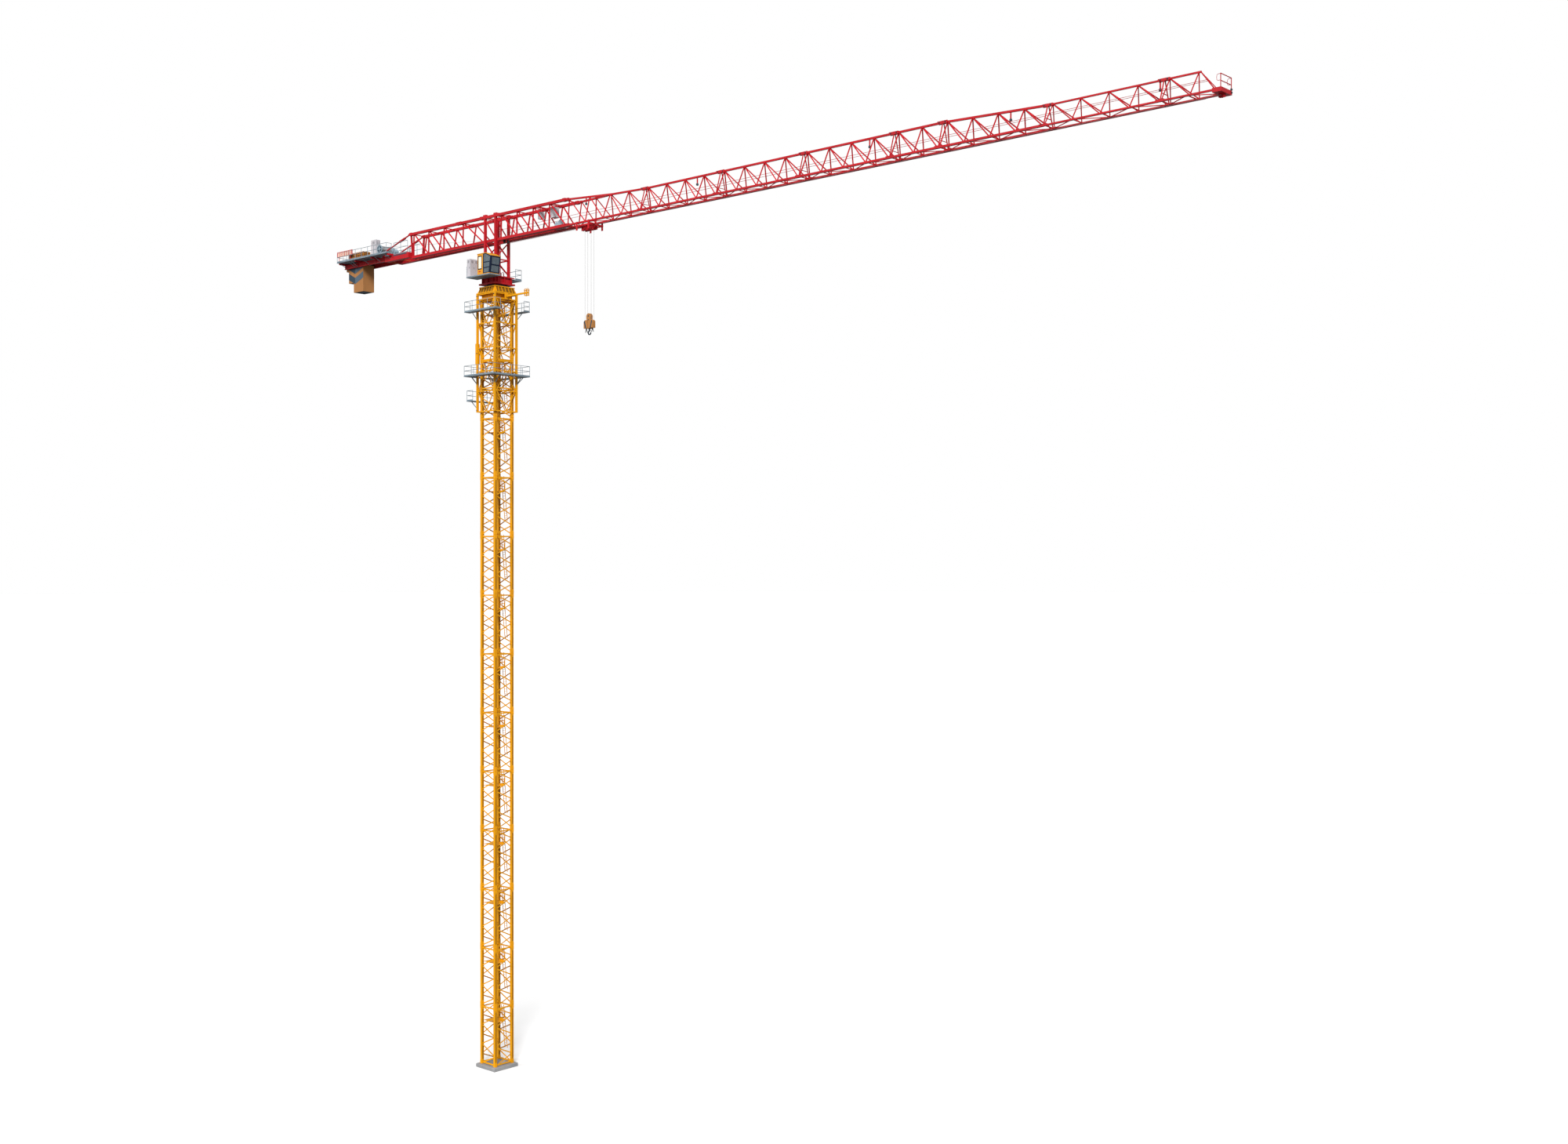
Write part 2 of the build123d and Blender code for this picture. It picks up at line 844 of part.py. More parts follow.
# Jib tip: a cross box on two stays, the return sheave under it, and a gate-like guard rail
tip_end = tip_x + tip_box_length
tip_under = rail_z - tip_box_under
tip_sheave_x = tip_x + tip_box_length / 2
tip_sheave_z = tip_under - tip_cheek_drop / 2
with BuildPart() as jib_tip:
    block(
        (tip_x, -tip_box_half_width, tip_under),
        (tip_end, tip_box_half_width, rail_z + tip_box_over),
    )
    block(
        (end_x, -tip_top_chord / 2, tip_top_z - tip_top_chord / 2),
        (end_x + tip_lug_length, tip_top_chord / 2, tip_top_z + tip_top_chord / 2),
    )
    rail_x = tip_end - tip_rail_bar
    gate_half = tip_box_half_width - tip_rail_bar / 2
    for hand in (-1, 1):
        bar(
            (end_x + tip_lug_length / 2, 0, tip_top_z),
            (tip_x + tip_top_chord / 2, hand * tip_stay_half_width, rail_z + tip_box_over - tip_stay),
            tip_stay,
            tip_stay,
        )
        gate_y = hand * gate_half
        bar((rail_x, gate_y, rail_z), (rail_x, gate_y, rail_z + tip_rail_height), tip_rail_bar, tip_rail_bar)
        cheek_low, cheek_high = sorted(
            (hand * tip_sheave_width / 2, hand * (tip_sheave_width / 2 + tip_cheek_thickness))
        )
        block(
            (tip_sheave_x - tip_cheek_length / 2, cheek_low, tip_under - tip_cheek_drop),
            (tip_sheave_x + tip_cheek_length / 2, cheek_high, tip_under + tip_cheek_thickness),
        )
    for height in (tip_knee_height, tip_rail_height - tip_rail_bar / 2):
        bar(
            (rail_x, -gate_half, rail_z + height),
            (rail_x, gate_half, rail_z + height),
            tip_rail_bar,
            tip_rail_bar,
        )
    with BuildSketch(Plane.XZ.offset(-tip_sheave_width / 2)) as return_sheave:
        with Locations((tip_sheave_x, tip_sheave_z)):
            RegularPolygon(tip_sheave_radius, sheave_sides)
    extrude(return_sheave.sketch, amount=tip_sheave_width)
save(jib_tip.part, "jib_tip")

# Counter-jib trusses, which mirror the root of the jib
counter_joint = -head_half_length - counter_first_length
with BuildPart() as counter_first:
    wide_section(counter_joint, counter_first_length, root_node_from_joint, False)
save(counter_first.part, "counter_jib_section_1")

counter_end = counter_joint - counter_second_length
with BuildPart() as counter_second:
    wide_section(counter_end, counter_second_length, root_node_from_joint, False)
    for hand in (-1, 1):
        bar(
            (counter_end + counter_end_post, hand * root_top_half_width, root_top_z),
            (counter_end + counter_end_post, hand * chord_outer - hand * root_chord / 2, rail_z),
            counter_end_post,
            counter_end_post,
        )
save(counter_second.part, "counter_jib_section_2")

# Counter-jib girders: two I-beams with a deeper box at the front, joined by cross beams
girder_end = counter_end - girder_length
girder_top = chord_under + girder_box_lift + girder_box_depth
girder_under = girder_top - girder_depth
deck_under = girder_top + cross_beam
with BuildPart() as counter_girders:
    for hand in (-1, 1):
        middle = hand * girder_half_width
        with BuildSketch(Plane.YZ.offset(girder_end)) as girder_profile:
            with Locations((middle, (girder_under + girder_top) / 2)):
                Rectangle(girder_web, girder_depth)
            for flange_z in (girder_under + girder_flange / 2, girder_top - girder_flange / 2):
                with Locations((middle, flange_z)):
                    Rectangle(girder_flange_width, girder_flange)
        extrude(girder_profile.sketch, amount=girder_length - girder_box_length)
        block(
            (counter_end - girder_box_length, middle - girder_box_width / 2, chord_under + girder_box_lift),
            (counter_end, middle + girder_box_width / 2, girder_top),
        )
    beam_step = (counter_deck_length - cross_beam) / (cross_beams - 1)
    for index in range(cross_beams):
        beam_x = girder_end + index * beam_step
        block(
            (beam_x, -cross_beam_reach, girder_top - girder_flange / 2),
            (beam_x + cross_beam, cross_beam_reach, deck_under),
        )
save(counter_girders.part, "counter_girders")

deck_front = girder_end + counter_deck_length
tie_foot_x = deck_front - tie_foot_from_deck_front
deck_notch_length = deck_front - tie_foot_x + deck_notch_margin
with BuildPart() as counter_deck:
    block(
        (girder_end - cross_beam, -counter_deck_half_width, deck_under),
        (deck_front, counter_deck_half_width, deck_under + counter_deck_thickness),
    )
    notch_places = [(deck_front, hand * girder_half_width, deck_under) for hand in (-1, 1)]
    with Locations(*notch_places):
        Box(
            deck_notch_length,
            2 * deck_notch_half_width,
            counter_deck_thickness,
            align=(Align.MAX, Align.CENTER, Align.MIN),
            mode=Mode.SUBTRACT,
        )
save(counter_deck.part, "counter_deck")
deck_top = deck_under + counter_deck_thickness

# Ballast: three blocks between the girders, each on ears that sit on the lower flanges
ballast_front = girder_end + ballast_from_deck_end
ballast_top = girder_top - ballast_top_drop
for index, (length, depth) in enumerate(zip(ballast_lengths, ballast_depths)):
    with BuildPart() as ballast:
        block(
            (ballast_front - length, -ballast_half_width, ballast_top - depth),
            (ballast_front, ballast_half_width, ballast_top),
        )
        ear_x = ballast_front - length / 2
        ear_y = girder_half_width - girder_web / 2 - ballast_ear_gap
        ear_z = girder_under + girder_flange
        block(
            (ear_x - hanger_bar / 2, -ear_y, ear_z),
            (ear_x + hanger_bar / 2, ear_y, ear_z + hanger_bar),
        )
    save(ballast.part, f"ballast_block_{index + 1}")
    ballast_front -= length + ballast_gap

# Tie bars from the ends of the top chords down to lugs on the girders
with BuildPart() as tie_bars:
    for hand in (-1, 1):
        head = Vector(counter_end, hand * root_top_half_width, root_top_z)
        foot = Vector(tie_foot_x, hand * girder_half_width, girder_top + tie_foot_height)
        run = (foot - head).normalized()
        bar(tuple(head - Vector(tie_size, 0, 0)), tuple(foot), tie_size, tie_size)
        buckle = head + (foot - head) * tie_buckle_place
        bar(
            tuple(buckle),
            tuple(buckle + run * tie_buckle_length),
            tie_buckle_width,
            tie_buckle_depth,
        )
        lug_reach = Vector(tie_lug_half_length, tie_lug_half_width, tie_lug_half_width)
        head_lug = head - Vector(tie_lug_half_length, 0, 0)
        block(tuple(head_lug - lug_reach), tuple(head_lug + lug_reach))
        block((foot.X - lug_reach.X, foot.Y - lug_reach.Y, girder_top), tuple(foot + lug_reach))
save(tie_bars.part, "tie_bars")

# Hoist winch across the deck
winch_x = deck_front - winch_from_deck_front
winch_z = deck_top + winch_drum_lift
with BuildPart() as hoist_winch:
    block(
        (winch_x - winch_base_length / 2, -winch_base_width / 2, deck_top),
        (winch_x + winch_base_length / 2, winch_base_width / 2, deck_top + winch_base_height),
    )
    with BuildSketch(Plane.XZ.offset(-winch_drum_length / 2)) as drum:
        with Locations((winch_x, winch_z)):
            RegularPolygon(winch_drum_radius, winch_drum_sides)
    extrude(drum.sketch, amount=winch_drum_length)
    for hand in (-1, 1):
        cradle_y = hand * (winch_base_width - winch_flange) / 2
        bar((winch_x, cradle_y, deck_top), (winch_x, cradle_y, winch_z), winch_cradle, winch_flange)
    for offset in (-winch_drum_length / 2, winch_drum_length / 2 - winch_flange):
        with BuildSketch(Plane.XZ.offset(offset)) as flange:
            with Locations((winch_x, winch_z)):
                RegularPolygon(winch_flange_radius, winch_drum_sides)
        extrude(flange.sketch, amount=winch_flange)
save(hoist_winch.part, "hoist_winch")

with BuildPart() as winch_cabinet:
    cabinet_x = deck_front - cabinet_from_deck_front
    block(
        (cabinet_x, -cabinet_width / 2, deck_top),
        (cabinet_x + cabinet_length, cabinet_width / 2, deck_top + cabinet_height),
    )
    chamfer(winch_cabinet.edges().group_by(Axis.Z)[-1], cabinet_chamfer)
save(winch_cabinet.part, "winch_cabinet")

with BuildPart() as resistor_boxes:
    resistor_x = deck_front - resistor_from_deck_front
    block(
        (resistor_x, -resistor_side_offset - resistor_width / 2, deck_top),
        (
            resistor_x + resistor_length,
            -resistor_side_offset + resistor_width / 2,
            deck_top + resistor_height,
        ),
    )
save(resistor_boxes.part, "resistor_boxes")

# Bare sign panel at the rear end of the deck, on two posts
with BuildPart() as sign_panel:
    sign_y = -counter_deck_half_width + sign_thickness
    sign_x = girder_end - cross_beam
    block(
        (sign_x, sign_y, deck_top + sign_lift),
        (sign_x + sign_length, sign_y + sign_thickness, deck_top + sign_lift + sign_height),
    )
    for offset in (sign_post_inset, sign_length - sign_post_inset):
        block(
            (sign_x + offset - sign_thickness / 2, sign_y, deck_top),
            (sign_x + offset + sign_thickness / 2, sign_y + sign_thickness, deck_top + sign_lift),
        )
save(sign_panel.part, "sign_panel")

# Cab deck on the near side of the slewing platform
cab_inner_y = -platform_width / 2
cab_outer_y = cab_inner_y - cab_reach
cab_floor = platform_top - cab_deck_drop
cab_front = cab_rear + cab_length
cab_front_foot = cab_front - cab_front_lean
with BuildPart() as cab_platform:
    block(
        (cab_deck_rear, cab_outer_y, cab_floor - cab_deck_thickness),
        (cab_front_foot, cab_inner_y, cab_floor),
    )
save(cab_platform.part, "cab_platform")

# Cab: its front leans out, and its roof falls towards the front
cab_y = (cab_outer_y, cab_outer_y + cab_width)
cab_top = cab_floor + cab_height
cab_wall_top = cab_top - cab_roof_thickness
cab_eave = cab_wall_top - cab_roof_fall
cab_ridge_x = cab_rear + cab_ridge_from_rear


def front_x(z):
    """Where the leaning front stands at a height."""
    return cab_front_foot + cab_front_lean * (z - cab_floor) / (cab_eave - cab_floor)


def cab_outline(rear, foot, front, drop):
    """The side view of the cab between a rear line and its front, inset from floor, front and roof."""
    eave = cab_eave - drop
    return (
        (rear, cab_floor + foot),
        (front_x(cab_floor + foot) - front, cab_floor + foot),
        (front_x(eave) - front, eave),
        (cab_ridge_x, cab_wall_top - drop),
        (rear, cab_wall_top - drop),
    )


def side_window(inset):
    """The outline of the side window, inset from its opening."""
    return cab_outline(
        cab_rear + cab_window_from_rear + inset, cab_sill + inset, cab_post + inset, cab_head + inset
    )


def lean_block(low_z, high_z, outer, inner, low_y, high_y):
    """Add a slab that lies in the leaning front, between two depths behind its face."""
    with BuildSketch(Plane.XZ.offset(-high_y)) as slab:
        Polygon(
            (front_x(low_z) - outer, low_z),
            (front_x(high_z) - outer, high_z),
            (front_x(high_z) - inner, high_z),
            (front_x(low_z) - inner, low_z),
            align=None,
        )
    extrude(slab.sketch, amount=high_y - low_y, clean=False)


window_low = cab_floor + cab_sill
window_high = cab_eave - cab_head
window_y = (cab_y[0] + cab_post, cab_y[1] - cab_post)
front_split = window_low + (window_high - window_low) * cab_front_mullion
with BuildPart() as cab_shell:
    with BuildSketch(Plane.XZ.offset(-cab_y[1])) as cab_profile:
        Polygon(*cab_outline(cab_rear, 0, 0, 0), align=None)
    extrude(cab_profile.sketch, amount=cab_width)
    with BuildSketch(Plane.XZ.offset(-cab_y[1] + cab_wall)) as cab_hollow:
        Polygon(*cab_outline(cab_rear + cab_wall, cab_wall, cab_wall, cab_wall), align=None)
    extrude(cab_hollow.sketch, amount=cab_width - 2 * cab_wall, mode=Mode.SUBTRACT)
    with BuildSketch(Plane.XZ.offset(-cab_y[0] - cab_wall)) as side_opening:
        Polygon(*side_window(0), align=None)
    extrude(side_opening.sketch, amount=cab_wall, mode=Mode.SUBTRACT)
    with BuildPart(mode=Mode.SUBTRACT):
        lean_block(window_low, window_high, 0, cab_wall, *window_y)
    with BuildSketch(Plane.XZ.offset(-cab_y[1])) as roof:
        Polygon(
            (cab_rear - cab_roof_edge, cab_wall_top),
            (cab_ridge_x, cab_wall_top),
            (cab_front, cab_eave),
            (cab_front + cab_roof_edge, cab_eave),
            (cab_front + cab_roof_edge, cab_eave + cab_roof_thickness),
            (cab_ridge_x, cab_top),
            (cab_rear - cab_roof_edge, cab_top),
            align=None,
        )
    extrude(roof.sketch, amount=cab_width + cab_roof_edge)
save(cab_shell.part, "cab_shell")

# Cab windows: dark frames seated in the openings, and the panes in the frames
with BuildPart() as cab_frames:
    with BuildSketch(Plane.XZ.offset(-cab_y[0] - cab_wall)) as side_frame:
        Polygon(*side_window(0), align=None)
        Polygon(*side_window(cab_frame), align=None, mode=Mode.SUBTRACT)
        for share in cab_side_mullions:
            with Locations((cab_ridge_x, window_low + (window_high - window_low) * share)):
                Rectangle(cab_length, cab_mullion)
        Polygon(*side_window(0), align=None, mode=Mode.INTERSECT)
    extrude(side_frame.sketch, amount=cab_wall)
    for low_z, high_z in (
        (window_low, window_low + cab_frame),
        (front_split - cab_mullion / 2, front_split + cab_mullion / 2),
        (window_high - cab_frame, window_high),
    ):
        lean_block(low_z, high_z, 0, cab_wall, *window_y)
    for low_y, high_y in (
        (window_y[0], window_y[0] + cab_frame),
        (window_y[1] - cab_frame, window_y[1]),
    ):
        lean_block(window_low, window_high, 0, cab_wall, low_y, high_y)
save(cab_frames.part, "cab_frames")

with BuildPart() as cab_glass:
    pane = cab_wall - 2 * cab_pane_inset
    with BuildSketch(Plane.XZ.offset(-cab_y[0] - cab_wall + cab_pane_inset)) as side_panes:
        Polygon(*side_window(cab_frame), align=None)
        for share in cab_side_mullions:
            with Locations((cab_ridge_x, window_low + (window_high - window_low) * share)):
                Rectangle(cab_length, cab_mullion, mode=Mode.SUBTRACT)
    extrude(side_panes.sketch, amount=pane)
    for low_z, high_z in (
        (window_low + cab_frame, front_split - cab_mullion / 2),
        (front_split + cab_mullion / 2, window_high - cab_frame),
    ):
        lean_block(
            low_z,
            high_z,
            cab_pane_inset,
            cab_wall - cab_pane_inset,
            window_y[0] + cab_frame,
            window_y[1] - cab_frame,
        )
save(cab_glass.part, "cab_glass")

with BuildPart() as control_cabinet:
    block(
        (control_cabinet_rear, cab_outer_y, cab_floor),
        (
            control_cabinet_rear + control_cabinet_length,
            cab_outer_y + control_cabinet_width,
            cab_floor + control_cabinet_height,
        ),
    )
    chamfer(control_cabinet.edges().group_by(Axis.Z)[-1], cabinet_chamfer)
save(control_cabinet.part, "control_cabinet")

with BuildPart() as side_platform:
    side_top = platform_top - side_deck_drop
    block(
        (side_deck_rear, platform_width / 2, side_top - cab_deck_thickness),
        (side_deck_front, platform_width / 2 + side_deck_reach, side_top),
    )
save(side_platform.part, "side_platform")

# Trolley: side plates with wheels on the rail ledges, cross beams and two sheaves
ledge_top = chord_under + rail_ledge_thickness
wheel_z = ledge_top + wheel_gap + wheel_radius
plate_in = chord_outer + rail_ledge + trolley_side_gap
plate_out = plate_in + trolley_plate
wheel_out = chord_outer + rail_ledge
wheel_in = wheel_out - wheel_width
frame_top = chord_under - trolley_rail_gap
frame_bottom = chord_under - trolley_drop
trolley_rear = trolley_radius - trolley_length / 2
trolley_front = trolley_radius + trolley_length / 2
sheave_z = frame_bottom + sheave_radius
sheave_half_spacing = fall_half_x + rope_size / 2 + rope_gap + sheave_radius
with BuildPart() as trolley:
    for hand in (-1, 1):
        low_y, high_y = sorted((hand * plate_in, hand * plate_out))
        block((trolley_rear, low_y, frame_top - trolley_beam), (trolley_front, high_y, frame_top))
        for axle_x in (trolley_radius - wheel_base / 2, trolley_radius + wheel_base / 2):
            block(
                (axle_x - arm_half_width, low_y, frame_bottom),
                (axle_x + arm_half_width, high_y, wheel_z + wheel_radius),
            )
            with BuildSketch(Plane.XZ.offset(-hand * plate_in)) as axle:
                with Locations((axle_x, wheel_z)):
                    RegularPolygon(wheel_radius / 2, axle_sides)
            extrude(axle.sketch, amount=hand * (plate_in - wheel_in))
            with BuildSketch(Plane.XZ.offset(-hand * wheel_out)) as wheel:
                with Locations((axle_x, wheel_z)):
                    RegularPolygon(wheel_radius, wheel_sides)
            extrude(wheel.sketch, amount=hand * wheel_width)
    for beam_x in (
        trolley_rear + trolley_beam / 2,
        trolley_radius,
        trolley_front - trolley_beam / 2,
    ):
        block(
            (beam_x - trolley_beam / 2, -plate_out, frame_top - trolley_beam),
            (beam_x + trolley_beam / 2, plate_out, frame_top),
        )
    for hand in (-1, 1):
        cheek_in = hand * (sheave_width / 2 + fall_half_y + trolley_plate)
        cheek_out = cheek_in + hand * trolley_plate
        low_y, high_y = sorted((cheek_in, cheek_out))
        block(
            (trolley_radius - sheave_half_spacing - sheave_radius, low_y, frame_bottom + sheave_axle),
            (trolley_radius + sheave_half_spacing + sheave_radius, high_y, frame_top),
        )
    for side in (-1, 1):
        sheave_x = trolley_radius + side * sheave_half_spacing
        with BuildSketch(Plane.XZ.offset(-abs(cheek_out))) as axle:
            with Locations((sheave_x, sheave_z)):
                RegularPolygon(sheave_axle, axle_sides)
        extrude(axle.sketch, amount=2 * abs(cheek_out))
        for hand in (-1, 1):
            sheave_y = hand * fall_half_y
            with BuildSketch(Plane.XZ.offset(-sheave_y - sheave_width / 2)) as sheave:
                with Locations((sheave_x, sheave_z)):
                    RegularPolygon(sheave_radius, sheave_sides)
            extrude(sheave.sketch, amount=sheave_width)
save(trolley.part, "trolley")

# Hook block: a middle plate, a sheave housing on each side and a fork under each housing
block_top = frame_bottom - hook_drop
block_bottom = block_top - block_height
block_shoulder = block_top - block_width / 2
housing_top = block_bottom + housing_height
with BuildPart() as hook_block:
    with BuildSketch(Plane.XZ.offset(-block_thickness / 2)) as plate:
        with BuildLine():
            Polyline(
                (trolley_radius - block_width / 2, block_shoulder),
                (trolley_radius - housing_inner, block_bottom),
                (trolley_radius + housing_inner, block_bottom),
                (trolley_radius + block_width / 2, block_shoulder),
            )
            ThreePointArc(
                (trolley_radius + block_width / 2, block_shoulder),
                (trolley_radius, block_top),
                (trolley_radius - block_width / 2, block_shoulder),
            )
        make_face()
    extrude(plate.sketch, amount=block_thickness)
    for hand in (-1, 1):
        with BuildSketch(Plane.XZ.offset(-housing_thickness / 2)) as housing:
            Polygon(
                (trolley_radius + hand * housing_inner / 2, block_bottom + fork_bar),
                (trolley_radius + hand * housing_outer, block_bottom + fork_bar),
                (trolley_radius + hand * housing_outer, housing_top - housing_chamfer),
                (trolley_radius + hand * (housing_outer - housing_chamfer), housing_top),
                (trolley_radius + hand * housing_inner / 2, housing_top),
                align=None,
            )
        extrude(housing.sketch, amount=housing_thickness)
        fork_x = trolley_radius + hand * fall_half_x
        for spread in (-1, 1):
            bar(
                (fork_x, 0, block_bottom + 2 * fork_bar),
                (fork_x + spread * fork_spread, 0, block_bottom - fork_drop),
                fork_bar,
                fork_bar,
            )
save(hook_block.part, "hook_block")

# Four straight rope falls between the trolley's sheaves and the hook block
with BuildPart() as hoist_falls:
    for side in (-1, 1):
        for hand in (-1, 1):
            fall_x = trolley_radius + side * fall_half_x
            bar(
                (fall_x, hand * fall_half_y, housing_top),
                (fall_x, hand * fall_half_y, sheave_z),
                rope_size,
                rope_size,
            )
save(hoist_falls.part, "hoist_falls")

# Swivel hook under the block
neck_top = block_bottom - swivel_gap
bowl_z = neck_top - hook_height + hook_bowl_radius + hook_wire
with BuildPart() as hook:
    with BuildSketch(Plane.XY.offset(neck_top)) as neck:
        with Locations((trolley_radius, 0)):
            RegularPolygon(swivel_radius, swivel_sides)
    extrude(neck.sketch, amount=-(neck_top - bowl_z - hook_bowl_radius))
    with BuildSketch(Plane.XZ.offset(-hook_wire / 2)) as bowl:
        with Locations((trolley_radius, bowl_z)):
            RegularPolygon(hook_bowl_radius + hook_wire, hook_sides)
            RegularPolygon(hook_bowl_radius, hook_sides, mode=Mode.SUBTRACT)
        with Locations((trolley_radius + hook_bowl_radius, bowl_z + hook_throat_lift)):
            Rectangle(2 * hook_bowl_radius, hook_bowl_radius, mode=Mode.SUBTRACT)
    extrude(bowl.sketch, amount=hook_wire)
save(hook.part, "hook")
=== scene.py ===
"""Looks of the flat-top tower crane: finishes, rails, ladders, ropes and small fittings, in metres."""
import json
from math import cos, pi, radians, sin

import bmesh
import bpy
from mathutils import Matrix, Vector


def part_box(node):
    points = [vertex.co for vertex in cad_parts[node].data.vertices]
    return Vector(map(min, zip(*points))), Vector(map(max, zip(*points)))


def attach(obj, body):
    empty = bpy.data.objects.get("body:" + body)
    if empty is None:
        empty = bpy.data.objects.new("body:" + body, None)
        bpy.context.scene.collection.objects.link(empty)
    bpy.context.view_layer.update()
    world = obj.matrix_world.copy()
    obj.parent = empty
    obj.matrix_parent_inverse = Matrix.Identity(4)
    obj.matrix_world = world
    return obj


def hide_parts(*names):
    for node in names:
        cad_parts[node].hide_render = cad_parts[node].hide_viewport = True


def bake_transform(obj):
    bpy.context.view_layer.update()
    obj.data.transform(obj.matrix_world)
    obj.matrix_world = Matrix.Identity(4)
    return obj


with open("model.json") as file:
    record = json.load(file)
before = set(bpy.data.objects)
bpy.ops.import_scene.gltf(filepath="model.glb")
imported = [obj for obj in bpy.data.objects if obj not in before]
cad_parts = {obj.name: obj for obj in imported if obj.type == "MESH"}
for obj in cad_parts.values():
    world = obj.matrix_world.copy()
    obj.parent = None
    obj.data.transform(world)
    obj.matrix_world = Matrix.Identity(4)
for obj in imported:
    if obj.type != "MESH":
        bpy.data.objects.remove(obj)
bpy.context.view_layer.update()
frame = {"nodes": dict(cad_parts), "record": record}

X_AXIS = Vector((1, 0, 0))
Y_AXIS = Vector((0, 1, 0))
UP = Vector((0, 0, 1))
BOTH = (-1, 1)

# Camera
CAMERA_PLACE = (13.867, -10.967, 5.124)
CAMERA_TURN = 41.97
CAMERA_LENS = 38.59
SENSOR_WIDTH = 36.0
VIEW_END = 1000.0

# Studio: each sun's strength, tilt and turn, and the light from above and below the horizon
FLOOR_RADIUS = 400.0
FLOOR_SIDES = 96
SUNS = {"key_light": (3.5, 58.0, 44.0), "fill_light": (1.1, 62.0, -18.0)}
SUN_ANGLE = 14.0
SKY_LIGHT = 0.6
GROUND_LIGHT = 0.3
SKY_SEEN = 1.0
HORIZON_BAND = 0.15
WHITE = (1, 1, 1, 1)

# Sizes that many pieces share
SHARP_ANGLE = radians(50)
RAIL_HEIGHT = 0.105
RAIL_RADIUS = 0.0024
KNEE_SHARE = 0.53
POST_SPACING = 0.12
TOE_HEIGHT = 0.012
TOE_THICKNESS = 0.0016
EDGE_INSET = 0.004
ROPE_RADIUS = 0.001
PAINT_THICKNESS = 0.0008
LADDER_WIDTH = 0.04 * X_AXIS

# Places on the jib
CHORD_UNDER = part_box("jib_root_section")[0].z
RAIL_Z = CHORD_UNDER + 0.010
JIB_DEPTH = 0.214
TIP_DEPTH = 0.168
NARROW_START = 1.8


def add_node(tree, kind, **inputs):
    """A new node with its sockets linked or set; an underscore in a socket's name stands for a space."""
    node = tree.nodes.new("ShaderNode" + kind)
    for name, value in inputs.items():
        feed(node.inputs[name.replace("_", " ")], value)
    return node


def feed(socket, value):
    """Link a socket to another node's output, or set its value."""
    if isinstance(value, bpy.types.NodeSocket):
        socket.id_data.links.new(value, socket)
    else:
        socket.default_value = value


class Finish:
    """A material's node tree, with short calls for the nodes that the finishes share."""

    def __init__(self, name):
        self.material = bpy.data.materials.new(name)
        self.material.use_nodes = True
        self.tree = self.material.node_tree
        self.tree.nodes.clear()
        self.shader = self.node("BsdfPrincipled")
        self.node("OutputMaterial", Surface=self.shader.outputs["BSDF"])
        self.place = self.node("TexCoord").outputs["Object"]

    def node(self, kind, **inputs):
        return add_node(self.tree, kind, **inputs)

    def set(self, **inputs):
        """Set or link the shader's own sockets."""
        for name, value in inputs.items():
            feed(self.shader.inputs[name.replace("_", " ")], value)

    def noise(self, scale, detail=4.0, stretch=(1, 1, 1)):
        """Cloudy values between 0 and 1, stretched along the axes where stretch is small."""
        mapping = self.node("Mapping", Scale=stretch, Vector=self.place)
        noise = self.node("TexNoise", Scale=scale, Detail=detail, Vector=mapping.outputs["Vector"])
        return noise.outputs["Fac"]

    def cells(self, scale):
        """A random value between 0 and 1 in each cell of a crystal pattern."""
        return self.node("TexVoronoi", Scale=scale, Vector=self.place).outputs["Color"]

    def under(self, height):
        """1 below a height of the part at rest, and 0 above it."""
        split = self.node("SeparateXYZ", Vector=self.place)
        less = self.node("Math")
        less.operation = "LESS_THAN"
        less.inputs[1].default_value = height
        feed(less.inputs[0], split.outputs["Z"])
        return less.outputs[0]

    def ramp(self, factor, stops):
        """Colours, or greys given as single numbers, at places along a factor."""
        ramp = self.node("ValToRGB", Fac=factor)
        elements = ramp.color_ramp.elements
        while len(elements) < len(stops):
            elements.new(0.5)
        for element, (position, value) in zip(elements, stops):
            colour = (value,) * 3 if isinstance(value, float) else value
            element.position = position
            element.color = (*colour, 1.0)
        return ramp.outputs["Color"]

    def mix(self, factor, below, above):
        """Above laid over below by a factor; each is a colour or another node's colour."""
        mix = self.node("Mix")
        mix.data_type = "RGBA"
        feed(mix.inputs[0], factor)
        for socket, value in ((mix.inputs[6], below), (mix.inputs[7], above)):
            feed(socket, (*value, 1.0) if isinstance(value, tuple) else value)
        return mix.outputs[2]

    def bump(self, height, strength, distance):
        """Fine relief that follows a pattern's values."""
        bump = self.node("Bump", Strength=strength, Distance=distance, Height=height)
        self.set(Normal=bump.outputs["Normal"])

    def roughness(self, factor, low, high):
        """Roughness that varies between two values with a pattern."""
        self.set(Roughness=self.ramp(factor, [(0.3, low), (0.7, high)]))


RUST = (0.11, 0.035, 0.012)
FADE = 0.84
SPANGLE_SCALE = 260.0
FORK_DROP = 0.149


def painted(finish, colour, grime, streaks, chipped=0.8):
    """Paint that fades in broad patches, with rain streaks that run down and small rusty chips."""
    patches = finish.noise(scale=3.0, detail=6.0)
    faded = tuple(FADE * part for part in colour)
    body = finish.ramp(patches, [(0.35, faded), (0.65, colour)])
    runs = finish.noise(scale=60.0, detail=3.0, stretch=(1, 1, 0.08))
    stained = finish.mix(finish.ramp(runs, [(0.52, 0.0), (0.78, streaks)]), body, grime)
    chips = finish.ramp(finish.noise(scale=150.0, detail=3.0), [(0.70, 0.0), (0.75, chipped)])
    return finish.mix(chips, stained, RUST)


def paint(name, colour, grime, streaks=0.25, roughness=0.45, metallic=0.0, chipped=0.8):
    """Sprayed paint with an orange-peel surface."""
    finish = Finish(name)
    finish.set(Base_Color=painted(finish, colour, grime, streaks, chipped))
    finish.roughness(finish.noise(scale=3.0, detail=6.0), roughness - 0.06, roughness + 0.1)
    finish.bump(finish.noise(scale=700.0, detail=2.0), strength=0.12, distance=0.0004)
    finish.set(Metallic=metallic, Specular_IOR_Level=0.2)
    return finish.material


